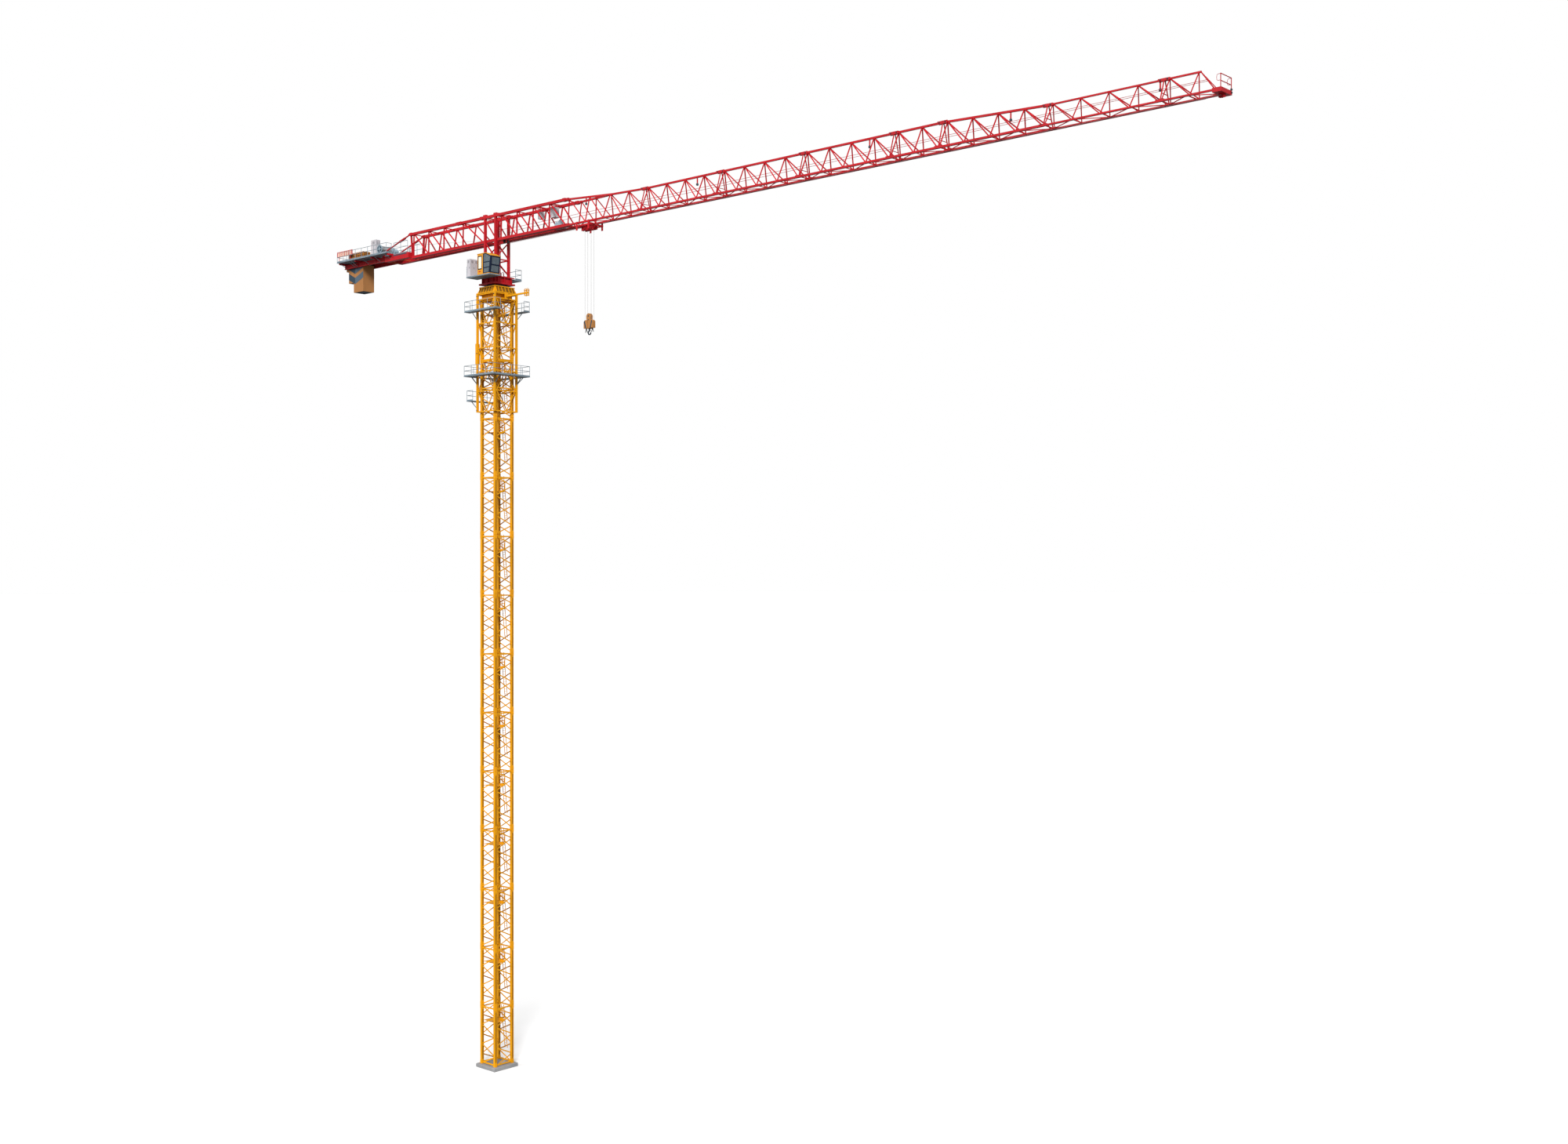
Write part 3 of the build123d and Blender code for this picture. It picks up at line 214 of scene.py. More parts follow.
def galvanised(name, dark, light):
    """Zinc-coated steel with its crystal pattern and dull run marks."""
    finish = Finish(name)
    spangle = finish.ramp(finish.cells(SPANGLE_SCALE), [(0.2, dark), (0.8, light)])
    runs = finish.noise(scale=40.0, detail=4.0, stretch=(1, 1, 0.2))
    dulled = finish.ramp(runs, [(0.45, 0.0), (0.8, 0.6)])
    finish.set(Base_Color=finish.mix(dulled, spangle, tuple(0.6 * part for part in dark)))
    finish.roughness(finish.cells(SPANGLE_SCALE), low=0.42, high=0.6)
    finish.bump(finish.noise(scale=500.0, detail=2.0), strength=0.1, distance=0.0003)
    finish.set(Metallic=0.35)
    return finish.material


def concrete(name):
    """Cast concrete with pores and damp patches."""
    dark, light = (0.21, 0.21, 0.215), (0.31, 0.31, 0.315)
    pore_colour, damp_colour = (0.1, 0.1, 0.1), (0.14, 0.14, 0.13)
    finish = Finish(name)
    body = finish.ramp(finish.noise(scale=9.0, detail=8.0), [(0.3, dark), (0.7, light)])
    pores = finish.ramp(finish.noise(scale=220.0, detail=2.0), [(0.66, 0.0), (0.72, 0.8)])
    patches = finish.noise(scale=5.0, detail=3.0, stretch=(1, 1, 0.3))
    damp = finish.ramp(patches, [(0.5, 0.0), (0.8, 0.5)])
    finish.set(Base_Color=finish.mix(damp, finish.mix(pores, body, pore_colour), damp_colour))
    finish.roughness(finish.noise(scale=60.0), low=0.8, high=0.95)
    finish.bump(finish.noise(scale=300.0, detail=6.0), strength=0.4, distance=0.0015)
    return finish.material


def glass(name):
    """Tinted panes with a film of dust, through which the cab's inside shows darkly."""
    clean, dusty = (0.16, 0.22, 0.26), (0.24, 0.29, 0.32)
    finish = Finish(name)
    dust = finish.noise(scale=25.0, detail=5.0, stretch=(1, 1, 0.5))
    finish.set(Base_Color=finish.ramp(dust, [(0.3, clean), (0.8, dusty)]))
    finish.roughness(dust, low=0.05, high=0.16)
    finish.set(Transmission_Weight=0.55, IOR=1.45)
    return finish.material


def wire_rope(name):
    """Greased wire rope, with its lay as a fine stretched pattern."""
    grease, wire = (0.14, 0.14, 0.14), (0.42, 0.42, 0.43)
    finish = Finish(name)
    lay = finish.noise(scale=900.0, detail=2.0, stretch=(1, 1, 0.4))
    finish.set(Base_Color=finish.ramp(lay, [(0.35, grease), (0.65, wire)]))
    finish.roughness(lay, low=0.4, high=0.6)
    finish.bump(lay, strength=0.4, distance=0.0003)
    finish.set(Metallic=0.7)
    return finish.material


def hook_paint(name, colour, grime, fork_colour):
    """The hook block's paint, with bare dark steel on the forks under it."""
    finish = Finish(name)
    forks = finish.under(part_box("hook_block")[1].z - FORK_DROP)
    finish.set(Base_Color=finish.mix(forks, painted(finish, colour, grime, streaks=0.35), fork_colour))
    finish.roughness(finish.noise(scale=30.0), low=0.45, high=0.6)
    finish.bump(finish.noise(scale=600.0, detail=2.0), strength=0.15, distance=0.0004)
    finish.set(Specular_IOR_Level=0.3)
    return finish.material


# Each paint: its colour, its grime, and how strong its streaks and how rough it is
PAINTS = {
    "ballast_brown": ((0.37, 0.165, 0.055), (0.2, 0.1, 0.05), 0.3, 0.7),
    "winch_grey": ((0.28, 0.37, 0.43), (0.1, 0.12, 0.14), 0.3, 0.45),
    "cabinet_white": ((0.54, 0.52, 0.55), (0.34, 0.32, 0.30), 0.2, 0.45),
    "resistor_orange": ((0.40, 0.15, 0.022), (0.13, 0.05, 0.015), 0.3, 0.5),
    "cab_yellow": ((0.66, 0.285, 0.018), (0.4, 0.16, 0.02), 0.12, 0.35),
    # Painted shade: dark brown strips down the mast legs stand in for the shadow in their grooves
    "painted_groove_shade": ((0.20, 0.065, 0.002), (0.05, 0.02, 0.004), 0.6, 0.7),
    # Painted shade: dark brown sheets between the slewing support's ribs stand in for their shadow
    "painted_panel_shade": ((0.20, 0.085, 0.002), (0.08, 0.03, 0.002), 0.5, 0.6),
    "floor_red": ((0.34, 0.007, 0.010), (0.08, 0.01, 0.008), 0.4, 0.6),
    # Dark blue-grey for real bands, stripes and pins, and also painted shade under the ballast and in
    # recesses and slots
    "dark_marks_and_shade": ((0.030, 0.055, 0.080), (0.02, 0.025, 0.03), 0.3, 0.6),
    "mark_light": ((0.085, 0.12, 0.155), (0.04, 0.05, 0.06), 0.3, 0.6),
    "label_white": ((0.80, 0.74, 0.60), (0.5, 0.42, 0.3), 0.2, 0.5),
    # Near-black cab inside; the same finish also paints the shade inside the resistor boxes' openings
    "cab_inside": ((0.035, 0.033, 0.036), (0.02, 0.02, 0.02), 0.2, 0.8),
    "mast_yellow": ((0.72, 0.315, 0.002), (0.30, 0.11, 0.002), 0.25, 0.45),
    "crane_red": ((0.46, 0.008, 0.015), (0.14, 0.003, 0.004), 0.25, 0.45),
}
STEEL_COLOUR, STEEL_GRIME = (0.035, 0.05, 0.065), (0.02, 0.015, 0.01)
FRAME_COLOUR, FRAME_GRIME = (0.006, 0.014, 0.036), (0.012, 0.014, 0.02)
HOOK_COLOUR, HOOK_GRIME, FORK_COLOUR = (0.39, 0.17, 0.045), (0.16, 0.08, 0.04), (0.012, 0.018, 0.024)
ZINC_DARK, ZINC_LIGHT = (0.15, 0.20, 0.24), (0.26, 0.33, 0.38)

FINISHES = {name: paint(name, *look) for name, look in PAINTS.items()}
FINISHES["concrete"] = concrete("concrete")
FINISHES["galvanised"] = galvanised("galvanised", ZINC_DARK, ZINC_LIGHT)
FINISHES["dark_steel"] = paint("dark_steel", STEEL_COLOUR, STEEL_GRIME, 0.4, 0.5, metallic=0.4)
FINISHES["cab_frame"] = paint("cab_frame", FRAME_COLOUR, FRAME_GRIME, 0.2, 0.5, chipped=0.0)
FINISHES["cab_glass"] = glass("cab_glass")
FINISHES["rope_steel"] = wire_rope("rope_steel")
FINISHES["hook_orange"] = hook_paint("hook_orange", HOOK_COLOUR, HOOK_GRIME, FORK_COLOUR)


def dress_nodes():
    """Give every CAD node the finish of its material slot."""
    for subpart in frame["record"]["subparts"]:
        slots = frame["nodes"][subpart["node"]].data.materials
        slots.clear()
        slots.append(FINISHES[subpart["material_slot"]])


def ring_turns(count):
    """The angles of equal steps round a circle."""
    return [2 * pi * step / count for step in range(count)]


class Shape:
    """Closed solids gathered into one piece."""

    def __init__(self):
        self.points = []
        self.faces = []

    def loft(self, rings):
        """A skin over rings of equally many points, closed at both ends."""
        first = len(self.points)
        sides = len(rings[0])
        for ring in rings:
            self.points.extend(Vector(point) for point in ring)
        for index in range(len(rings) - 1):
            low = first + index * sides
            for side in range(sides):
                turn = (side + 1) % sides
                self.faces.append((low + side, low + turn, low + sides + turn, low + sides + side))
        last = first + (len(rings) - 1) * sides
        self.faces.append(tuple(reversed(range(first, first + sides))))
        self.faces.append(tuple(range(last, last + sides)))

    def prism(self, outline, run):
        """A flat outline drawn out along a run."""
        run = Vector(run)
        self.loft([outline, [Vector(point) + run for point in outline]])

    def box(self, low, high):
        """An upright box between two corners."""
        rim = [(low[0], low[1]), (high[0], low[1]), (high[0], high[1]), (low[0], high[1])]
        self.loft([[(x, y, z) for x, y in rim] for z in (low[2], high[2])])

    def block(self, middle, size):
        """A box about its middle."""
        middle, half = Vector(middle), Vector(size) / 2
        self.box(middle - half, middle + half)

    def bar(self, start, end, width, depth):
        """A straight bar; depth is measured upwards, or along X on an upright bar."""
        start, end = Vector(start), Vector(end)
        along = (end - start).normalized()
        side = along.cross(UP)
        upright = side.length <= 0.01
        side = Y_AXIS if upright else side.normalized()
        rise = side.cross(along) * depth / 2
        side = side * width / 2
        rings = []
        for middle in (start, end):
            rings.append([middle + a * side + b * rise for a, b in ((-1, -1), (1, -1), (1, 1), (-1, 1))])
        self.loft(rings)

    def tube(self, path, radius, sides=6):
        """A round bar along a path of points."""
        path = [Vector(point) for point in path]
        rings = []
        side = None
        for index, point in enumerate(path):
            ahead = path[min(index + 1, len(path) - 1)] - path[max(index - 1, 0)]
            ahead.normalize()
            if side is None:
                side = ahead.orthogonal()
            side = (side - ahead * side.dot(ahead)).normalized()
            rise = ahead.cross(side)
            spokes = [side * cos(turn) + rise * sin(turn) for turn in ring_turns(sides)]
            rings.append([point + radius * spoke for spoke in spokes])
        self.loft(rings)

    def turned(self, middle, axis, profile, sides=24):
        """A closed solid turned about an axis, from pairs of a place along it and a radius."""
        axis = Vector(axis).normalized()
        side = axis.orthogonal().normalized()
        rise = axis.cross(side)
        spokes = [side * cos(turn) + rise * sin(turn) for turn in ring_turns(sides)]
        rings = []
        for along, radius in profile:
            rings.append([Vector(middle) + axis * along + spoke * radius for spoke in spokes])
        self.loft(rings)

    def piece(self, name, slot, body="upper_works"):
        """Make the object, smooth it between its sharp edges, and let it ride on a body."""
        mesh = bpy.data.meshes.new(name)
        mesh.from_pydata(self.points, [], self.faces)
        solid = bmesh.new()
        solid.from_mesh(mesh)
        bmesh.ops.recalc_face_normals(solid, faces=solid.faces)
        solid.to_mesh(mesh)
        solid.free()
        mesh.shade_smooth()
        mesh.set_sharp_from_angle(angle=SHARP_ANGLE)
        mesh.materials.append(FINISHES[slot])
        made = bpy.data.objects.new(name, mesh)
        bpy.context.scene.collection.objects.link(made)
        if body:
            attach(made, body)
        return made


def guard_rail(shape, corners, closed=False, height=RAIL_HEIGHT):
    """Posts, a top rail, a knee rail and a toe board along a deck's edge."""
    corners = [Vector(corner) for corner in corners]
    stops = corners + corners[:1] if closed else corners
    for start, end in zip(stops, stops[1:]):
        spaces = max(1, round((end - start).length / POST_SPACING))
        for index in range(spaces):
            foot = start.lerp(end, index / spaces)
            shape.tube([foot, foot + UP * height], RAIL_RADIUS)
        for share in (KNEE_SHARE, 1.0):
            lift = UP * height * share
            shape.tube([start + lift, end + lift], RAIL_RADIUS)
        shape.bar(start + UP * TOE_HEIGHT / 2, end + UP * TOE_HEIGHT / 2, TOE_THICKNESS, TOE_HEIGHT)
    if not closed:
        shape.tube([corners[-1], corners[-1] + UP * height], RAIL_RADIUS)


def flat_rail(shape, path, z, **options):
    """A guard rail along a path on a level deck."""
    guard_rail(shape, [(x, y, z) for x, y in path], **options)


def ladder(shape, foot, head, rungs):
    """Two stringers and round rungs between a foot and a head."""
    foot, head = Vector(foot), Vector(head)
    for hand in BOTH:
        aside = LADDER_WIDTH * hand / 2
        shape.bar(foot + aside, head + aside, width=0.003, depth=0.006)
    for step in range(1, rungs):
        middle = foot.lerp(head, step / rungs)
        shape.tube([middle - LADDER_WIDTH / 2, middle + LADDER_WIDTH / 2], radius=0.0015, sides=5)


DOOR_MARGIN = 0.004
DOOR_THICKNESS = 0.0014
HANDLE_ACROSS, HANDLE_UP = 0.84, 0.5
HANDLE_PROUD = 0.003
HANDLE_HALF_LENGTH = 0.008
VENT_PLACES = (0.80, 0.85, 0.90)
VENT_START, VENT_SHARE = 0.25, 0.5
VENT_HEIGHT = 0.003
VENT_THICKNESS = 0.001


def rectangle(corner, across, up):
    """The corners of a flat plate."""
    return [corner, corner + across, corner + across + up, corner + up]


def doors(plates, handles, corner, across, up, out, count):
    """Raised door plates side by side on a cabinet's face, each with a handle and three vent slats."""
    unit, rise = across.normalized(), up.normalized()
    pitch = across / count
    wide = unit * (pitch.length - DOOR_MARGIN)
    tall = rise * (up.length - 2 * DOOR_MARGIN)
    for index in range(count):
        start = corner + unit * DOOR_MARGIN / 2 + pitch * index + rise * DOOR_MARGIN
        plates.prism(rectangle(start, wide, tall), out * DOOR_THICKNESS)
        grip = start + wide * HANDLE_ACROSS + tall * HANDLE_UP + out * HANDLE_PROUD
        half = rise * HANDLE_HALF_LENGTH
        handles.tube([grip - half, grip + half], radius=0.0014)
        for place in VENT_PLACES:
            vent = start + wide * VENT_START + tall * place + out * DOOR_THICKNESS
            handles.prism(rectangle(vent, wide * VENT_SHARE, rise * VENT_HEIGHT), out * VENT_THICKNESS)


# Mast
LEG_SIZE = 0.027
COLLAR_HEIGHT = 0.034
COLLAR_GROWTH = 0.0012
COLLAR_GAP = 0.001
SLEEVE_SPREAD = 0.008
GROOVE_WIDTH = 0.010
GROOVE_END = 0.046
FRAME_INSET = 0.016
FRAME_WIDTH, FRAME_DEPTH = 0.010, 0.012
LANDING_SHARE = 0.74
LANDING_THICKNESS = 0.004
HATCH_X, HATCH_Y = 0.0, 0.03
MAST_LADDER_X = 0.045
MAST_LADDER_FOOT_Y, MAST_LADDER_HEAD_Y = 0.085, 0.035
MAST_LADDER_FOOT = 0.15
MAST_LADDER_RUNGS = 18


def mast_sections():
    """Names of the mast's sections, from the foot up."""
    return sorted(name for name in frame["nodes"] if name.startswith("mast_section"))


def make_mast_joints():
    """Collars and bolt sleeves on the legs, end frames between them, and dark strips of painted shade down
    the legs' sides where their grooves lie in shadow.
    """
    joints, groove_shade = Shape(), Shape()
    names = mast_sections()
    for name in names:
        low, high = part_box(name)
        inner = high.x - LEG_SIZE
        centre = high.x - LEG_SIZE / 2
        reach = LEG_SIZE / 2 + COLLAR_GROWTH
        groove = (2 * PAINT_THICKNESS, GROOVE_WIDTH, high.z - low.z - 2 * GROOVE_END)
        for side in BOTH:
            x = side * centre
            sleeve_x = side * (centre + reach + COLLAR_GAP)
            for y in (-centre, centre):
                for foot in (low.z + COLLAR_GAP, high.z - COLLAR_HEIGHT - COLLAR_GAP):
                    head = foot + COLLAR_HEIGHT
                    joints.box((x - reach, y - reach, foot), (x + reach, y + reach, head))
                    for hand in BOTH:
                        sleeve = Vector((sleeve_x, y + hand * SLEEVE_SPREAD, foot))
                        joints.tube([sleeve, sleeve + UP * COLLAR_HEIGHT], radius=0.003)
                for face in (x - LEG_SIZE / 2, x + LEG_SIZE / 2):
                    # Painted shade: a dark strip on each leg face for the shadow in its groove
                    groove_shade.block((face, y, (low.z + high.z) / 2), groove)
        levels = [high.z - FRAME_INSET]
        if name == names[0]:
            levels.append(low.z + FRAME_INSET)
        for z in levels:
            for hand in BOTH:
                y = hand * centre
                joints.bar((-inner, y, z), (inner, y, z), FRAME_WIDTH, FRAME_DEPTH)
                joints.bar((y, -inner, z), (y, inner, z), FRAME_WIDTH, FRAME_DEPTH)
    joints.piece("mast_joints", "mast_yellow", "mast_body")
    groove_shade.piece("mast_leg_groove_shade", "painted_groove_shade", "mast_body")


def make_mast_ladders():
    """A rest platform with a rail in every mast section, and the ladders between them."""
    landings, ladders = Shape(), Shape()
    for name in mast_sections():
        low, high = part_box(name)
        inner = high.x - LEG_SIZE
        deck = low.z + LANDING_SHARE * (high.z - low.z)
        under = deck - LANDING_THICKNESS
        landings.box((-inner, -inner, under), (inner, HATCH_Y, deck))
        landings.box((-inner, HATCH_Y, under), (HATCH_X, inner, deck))
        flat_rail(landings, [(HATCH_X, inner), (HATCH_X, HATCH_Y), (inner, HATCH_Y)], deck)
        foot = (MAST_LADDER_X, MAST_LADDER_FOOT_Y, low.z + MAST_LADDER_FOOT)
        head = (MAST_LADDER_X, MAST_LADDER_HEAD_Y, high.z)
        ladder(ladders, foot, head, MAST_LADDER_RUNGS)
    landings.piece("mast_landings", "mast_yellow", "mast_body")
    ladders.piece("mast_ladders", "mast_yellow", "mast_body")


# Climbing cage
CLIMBING_LEVELS = (7.02, 7.30)
CROSS_BEAM_X, CROSS_BEAM_SIZE = 0.130, (0.006, 0.17, 0.014)
LONG_BEAM_Y, LONG_BEAM_SIZE = 0.128, (0.17, 0.005, 0.014)
FEED_HOOP_INSETS = (0.038, 0.004)
FEED_HOOP_HALF_WIDTH, FEED_HOOP_RISE = 0.019, 0.020
FEED_HOOP_DROP = 0.010
FEED_HOOP_STEPS = 10
CAGE_PIN = ((0, 0.006), (0.003, 0.006), (0.005, 0.004))
CAGE_PIN_INSET, CAGE_PIN_LIFT = 0.012, 0.02


def make_cage_rails():
    """Guard rails round the climbing cage's three platforms."""
    rails = Shape()
    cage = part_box("cage_near_side")[1].x
    low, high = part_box("upper_platform")
    rear, front = low.x + EDGE_INSET, high.x - EDGE_INSET
    for side in BOTH:
        edge, wall = side * (high.y - EDGE_INSET), side * cage
        flat_rail(rails, [(rear, wall), (rear, edge), (front, edge), (front, wall)], high.z)
    low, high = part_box("middle_platform")
    x, y = high.x - EDGE_INSET, high.y - EDGE_INSET
    flat_rail(rails, [(-x, -y), (x, -y), (x, y), (-x, y)], high.z, closed=True)
    low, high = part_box("lower_platform")
    x, y = low.x + EDGE_INSET, high.y - EDGE_INSET
    flat_rail(rails, [(-cage, -y), (x, -y), (x, y), (-cage, y)], high.z)
    rails.piece("cage_guard_rails", "galvanised", "mast_body")


def make_cage_fittings():
    """Climbing beams, the hoops of the feeding beam's trolley, and corner pins."""
    beams, pins = Shape(), Shape()
    for z in CLIMBING_LEVELS:
        for hand in BOTH:
            beams.block((hand * CROSS_BEAM_X, 0, z), CROSS_BEAM_SIZE)
            beams.block((0, hand * LONG_BEAM_Y, z), LONG_BEAM_SIZE)
    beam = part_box("feeding_beam")[1]
    for inset in FEED_HOOP_INSETS:
        hoop = []
        for step in range(FEED_HOOP_STEPS + 1):
            turn = pi * step / FEED_HOOP_STEPS
            rise = FEED_HOOP_RISE * sin(turn) - FEED_HOOP_DROP
            hoop.append((beam.x - inset, FEED_HOOP_HALF_WIDTH * cos(turn), beam.z + rise))
        beams.tube(hoop, radius=0.003)
    beams.piece("climbing_beams", "mast_yellow", "mast_body")
    low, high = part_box("cage_near_side")
    for hand in BOTH:
        for x in (low.x + CAGE_PIN_INSET, high.x - CAGE_PIN_INSET):
            for z in (low.z + CAGE_PIN_LIFT, (low.z + high.z) / 2, high.z - CAGE_PIN_LIFT):
                pins.turned((x, hand * high.x, z), Y_AXIS * hand, CAGE_PIN, sides=12)
    pins.piece("cage_pins", "dark_steel", "mast_body")


# Slew ring and platform
RING_BOLTS = 30
RING_BOLT_RADIUS = 0.1165
RING_BOLT = ((0, 0.0042), (0.005, 0.0042), (0.0051, 0.002), (0.008, 0.002))
CABLE_HOOP_X, CABLE_HOOP_PLACES = 0.118, (-0.088, -0.055, -0.022)
CABLE_HOOP = ((-0.012, 0), (-0.012, 0.034), (-0.006, 0.041), (0.006, 0.041), (0.012, 0.034), (0.012, 0))
TOWER_LADDER_PLACE = (-0.02, 0.045)
TOWER_LADDER_HEIGHT = 0.62
TOWER_LADDER_RUNGS = 24


def make_slewing_fittings():
    """Bolts round the slew ring, hoops on the slewing platform, and the ladder up the tower."""
    bolts = Shape()
    foot_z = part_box("slew_ring")[0].z
    for turn in ring_turns(RING_BOLTS):
        foot = (RING_BOLT_RADIUS * cos(turn), RING_BOLT_RADIUS * sin(turn), foot_z)
        bolts.turned(foot, UP, RING_BOLT, sides=6)
    bolts.piece("slew_ring_bolts", "dark_steel", "mast_body")
    fittings = Shape()
    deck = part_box("slewing_platform")[1].z
    for place in CABLE_HOOP_PLACES:
        hoop = [(CABLE_HOOP_X, place + aside, deck + lift) for aside, lift in CABLE_HOOP]
        fittings.tube(hoop, radius=0.0026)
    head = (*TOWER_LADDER_PLACE, deck + TOWER_LADDER_HEIGHT)
    ladder(fittings, (*TOWER_LADDER_PLACE, deck), head, TOWER_LADDER_RUNGS)
    fittings.piece("slewing_fittings", "crane_red")


# Slewing support
SUPPORT_FOOT, SUPPORT_HEAD = 8.0085, 8.0595
SUPPORT_FOOT_OUT, SUPPORT_HEAD_OUT = 0.1435, 0.1220
RIB_PROUD, RIB_ROOT = 0.007, 0.002
RIB_THICKNESS = 0.005
PANEL_GAP = 0.003
PANEL_EDGES = (-0.119, -0.087, -0.0433, 0.0, 0.0433, 0.087, 0.119)


def make_support_panels():
    """More ribs round the slewing support, and dark panels of painted shade between them."""
    ribs, panels = Shape(), Shape()
    profile = [(SUPPORT_FOOT_OUT - RIB_ROOT, SUPPORT_FOOT), (SUPPORT_FOOT_OUT + RIB_PROUD, SUPPORT_FOOT)]
    profile += [(SUPPORT_HEAD_OUT + RIB_PROUD, SUPPORT_HEAD), (SUPPORT_HEAD_OUT - RIB_ROOT, SUPPORT_HEAD)]
    foot = UP * SUPPORT_FOOT
    head = UP * SUPPORT_HEAD
    for out in (X_AXIS, Y_AXIS, -X_AXIS, -Y_AXIS):
        along = UP.cross(out)
        for place in PANEL_EDGES[::2]:
            start = along * (place - RIB_THICKNESS / 2)
            ribs.prism([start + out * reach + UP * z for reach, z in profile], along * RIB_THICKNESS)
        for near, far in zip(PANEL_EDGES, PANEL_EDGES[1:]):
            left, right = along * (near + PANEL_GAP), along * (far - PANEL_GAP)
            bottom, top = foot + out * SUPPORT_FOOT_OUT, head + out * SUPPORT_HEAD_OUT
            # Painted shade: a dark sheet on the wall between two ribs
            panels.prism([left + bottom, right + bottom, right + top, left + top], out * PAINT_THICKNESS)
    ribs.piece("support_ribs", "mast_yellow", "mast_body")
    panels.piece("support_panel_shade", "painted_panel_shade", "mast_body")


# Guard rails of the upper works
DECK_GATE = 0.12
WALK_RAIL_Y = 0.108
WALK_RAIL_FRONT, WALK_RAIL_REAR = 0.02, 0.03
WALK_RAIL_HEIGHT = 0.13
RAIL_RETURN = 0.01


def make_platform_rails():
    """Guard rails of the counter-jib's deck and walkway, the cab platform and the side platform."""
    deck_rails = Shape()
    low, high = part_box("counter_deck")
    y = high.y - EDGE_INSET
    rear, front = low.x + EDGE_INSET, high.x - EDGE_INSET
    path = [(front, -DECK_GATE), (front, -y), (rear, -y), (rear, y), (front, y), (front, DECK_GATE)]
    flat_rail(deck_rails, path, high.z)
    walk_start, walk_end = front + WALK_RAIL_REAR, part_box("counter_girders")[1].x - WALK_RAIL_FRONT
    walk_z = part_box("tie_bars")[0].z
    for y in (-WALK_RAIL_Y, WALK_RAIL_Y):
        flat_rail(deck_rails, [(walk_start, y), (walk_end, y)], walk_z, height=WALK_RAIL_HEIGHT)
    deck_rails.piece("counter_deck_rails", "galvanised")
    side_rails = Shape()
    low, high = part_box("side_platform")
    wall, y = low.y + RAIL_RETURN, high.y - EDGE_INSET
    flat_rail(side_rails, [(low.x, wall), (low.x, y), (high.x, y), (high.x, wall)], high.z)
    low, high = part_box("cab_platform")
    x, y = low.x + EDGE_INSET, low.y + EDGE_INSET
    flat_rail(side_rails, [(x, high.y - RAIL_RETURN), (x, y), (x + RAIL_RETURN, y)], high.z)
    side_rails.piece("platform_rails", "galvanised")


# Inside the cab: the linings of its far wall, rear wall and floor, from low to high corner
CAB_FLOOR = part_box("cab_shell")[0].z + 0.006
CAB_LININGS = (
    ((0.032, -0.1545, CAB_FLOOR), (0.210, -0.1530, 8.335)),
    ((0.0315, -0.262, CAB_FLOOR), (0.0330, -0.155, 8.360)),
    ((0.034, -0.262, CAB_FLOOR), (0.205, -0.156, CAB_FLOOR + 0.002)),
)

# The seat's post and cushion by height and size, its back and headrest by the places of their ends
SEAT_X, SEAT_Y = 0.118, -0.212
SEAT_BLOCKS = ((0.014, (0.022, 0.022, 0.026)), (0.034, (0.050, 0.050, 0.014)))
SEAT_BACKS = (((0.094, 0.042), (0.084, 0.106), 0.046, 0.012), ((0.083, 0.112), (0.081, 0.128), 0.026, 0.009))

# The two desks, with a lever and a knob on each
DESK_PLACES = (-0.250, -0.174)
DESK_X, DESK_LIFT, DESK_SIZE = 0.132, 0.032, (0.060, 0.016, 0.064)
LEVER = ((0.148, 0.064), (0.151, 0.084))
KNOB_X, KNOB_LIFT, KNOB = 0.151, 0.082, ((0, 0.002), (0.003, 0.0045), (0.008, 0.002))

# Plates on the cab's near wall, by left, foot, right and head
CAB_WALL = -0.2715
LABEL = (0.043, 8.226, 0.093, 8.344)
LABEL_SIDES = ((0.034, 8.216, 0.044, 8.354), (0.092, 8.216, 0.097, 8.354))
LABEL_ENDS = ((0.036, 8.216, 0.095, 8.226), (0.036, 8.344, 0.095, 8.354))
REFLECTOR = (0.046, 8.190, 0.080, 8.198)
LABEL_SIDE_PROUD, LABEL_END_PROUD = 0.0016, 0.0013

# Cab windows: their foot and head, the front wall's lean, and the seals over their frames
WINDOW_FOOT, WINDOW_HEAD = 8.1704, 8.3374
FRONT_FOOT_X, FRONT_FOOT_Z, FRONT_LEAN = 0.2202, 8.1644, 0.16
SEAL_THICKNESS = 0.0015
CROSS_SEAL_THICKNESS = 0.7 * SEAL_THICKNESS
CORNER_SEAL_WIDTH = 0.014
MIDDLE_SEAL_LEFT, MIDDLE_SEAL_RIGHT, MIDDLE_SEAL_HEAD = 0.116, 0.127, 8.366
SIDE_BAR_START, SIDE_BAR_HALF_HEIGHT, SIDE_BAR_SHARES = 0.12, 0.0045, (0.34, 0.67)
FRONT_POSTS = ((CAB_WALL, -0.256), (-0.160, -0.149))
FRONT_BAR_NEAR, FRONT_BAR_FAR = -0.270, -0.150
FRONT_BAR_HALF_HEIGHT, FRONT_BAR_SHARES = 0.005, (0.03, 0.47, 0.97)


def make_cab_inside():
    """The cab's lining, its seat, and the desks at either side of it."""
    inside = Shape()
    for low, high in CAB_LININGS:
        inside.box(low, high)
    for lift, size in SEAT_BLOCKS:
        inside.block((SEAT_X, SEAT_Y, CAB_FLOOR + lift), size)
    for foot, head, width, depth in SEAT_BACKS:
        ends = [(x, SEAT_Y, CAB_FLOOR + lift) for x, lift in (foot, head)]
        inside.bar(*ends, width, depth)
    for y in DESK_PLACES:
        inside.block((DESK_X, y, CAB_FLOOR + DESK_LIFT), DESK_SIZE)
        inside.tube([(x, y, CAB_FLOOR + lift) for x, lift in LEVER], radius=0.0022)
        inside.turned((KNOB_X, y, CAB_FLOOR + KNOB_LIFT), UP, KNOB, sides=10)
    inside.piece("cab_inside", "cab_inside")


def wall_plate(shape, plate, proud):
    """A thin plate on the cab's near wall."""
    left, foot, right, head = plate
    shape.box((left, CAB_WALL - proud, foot), (right, CAB_WALL, head))


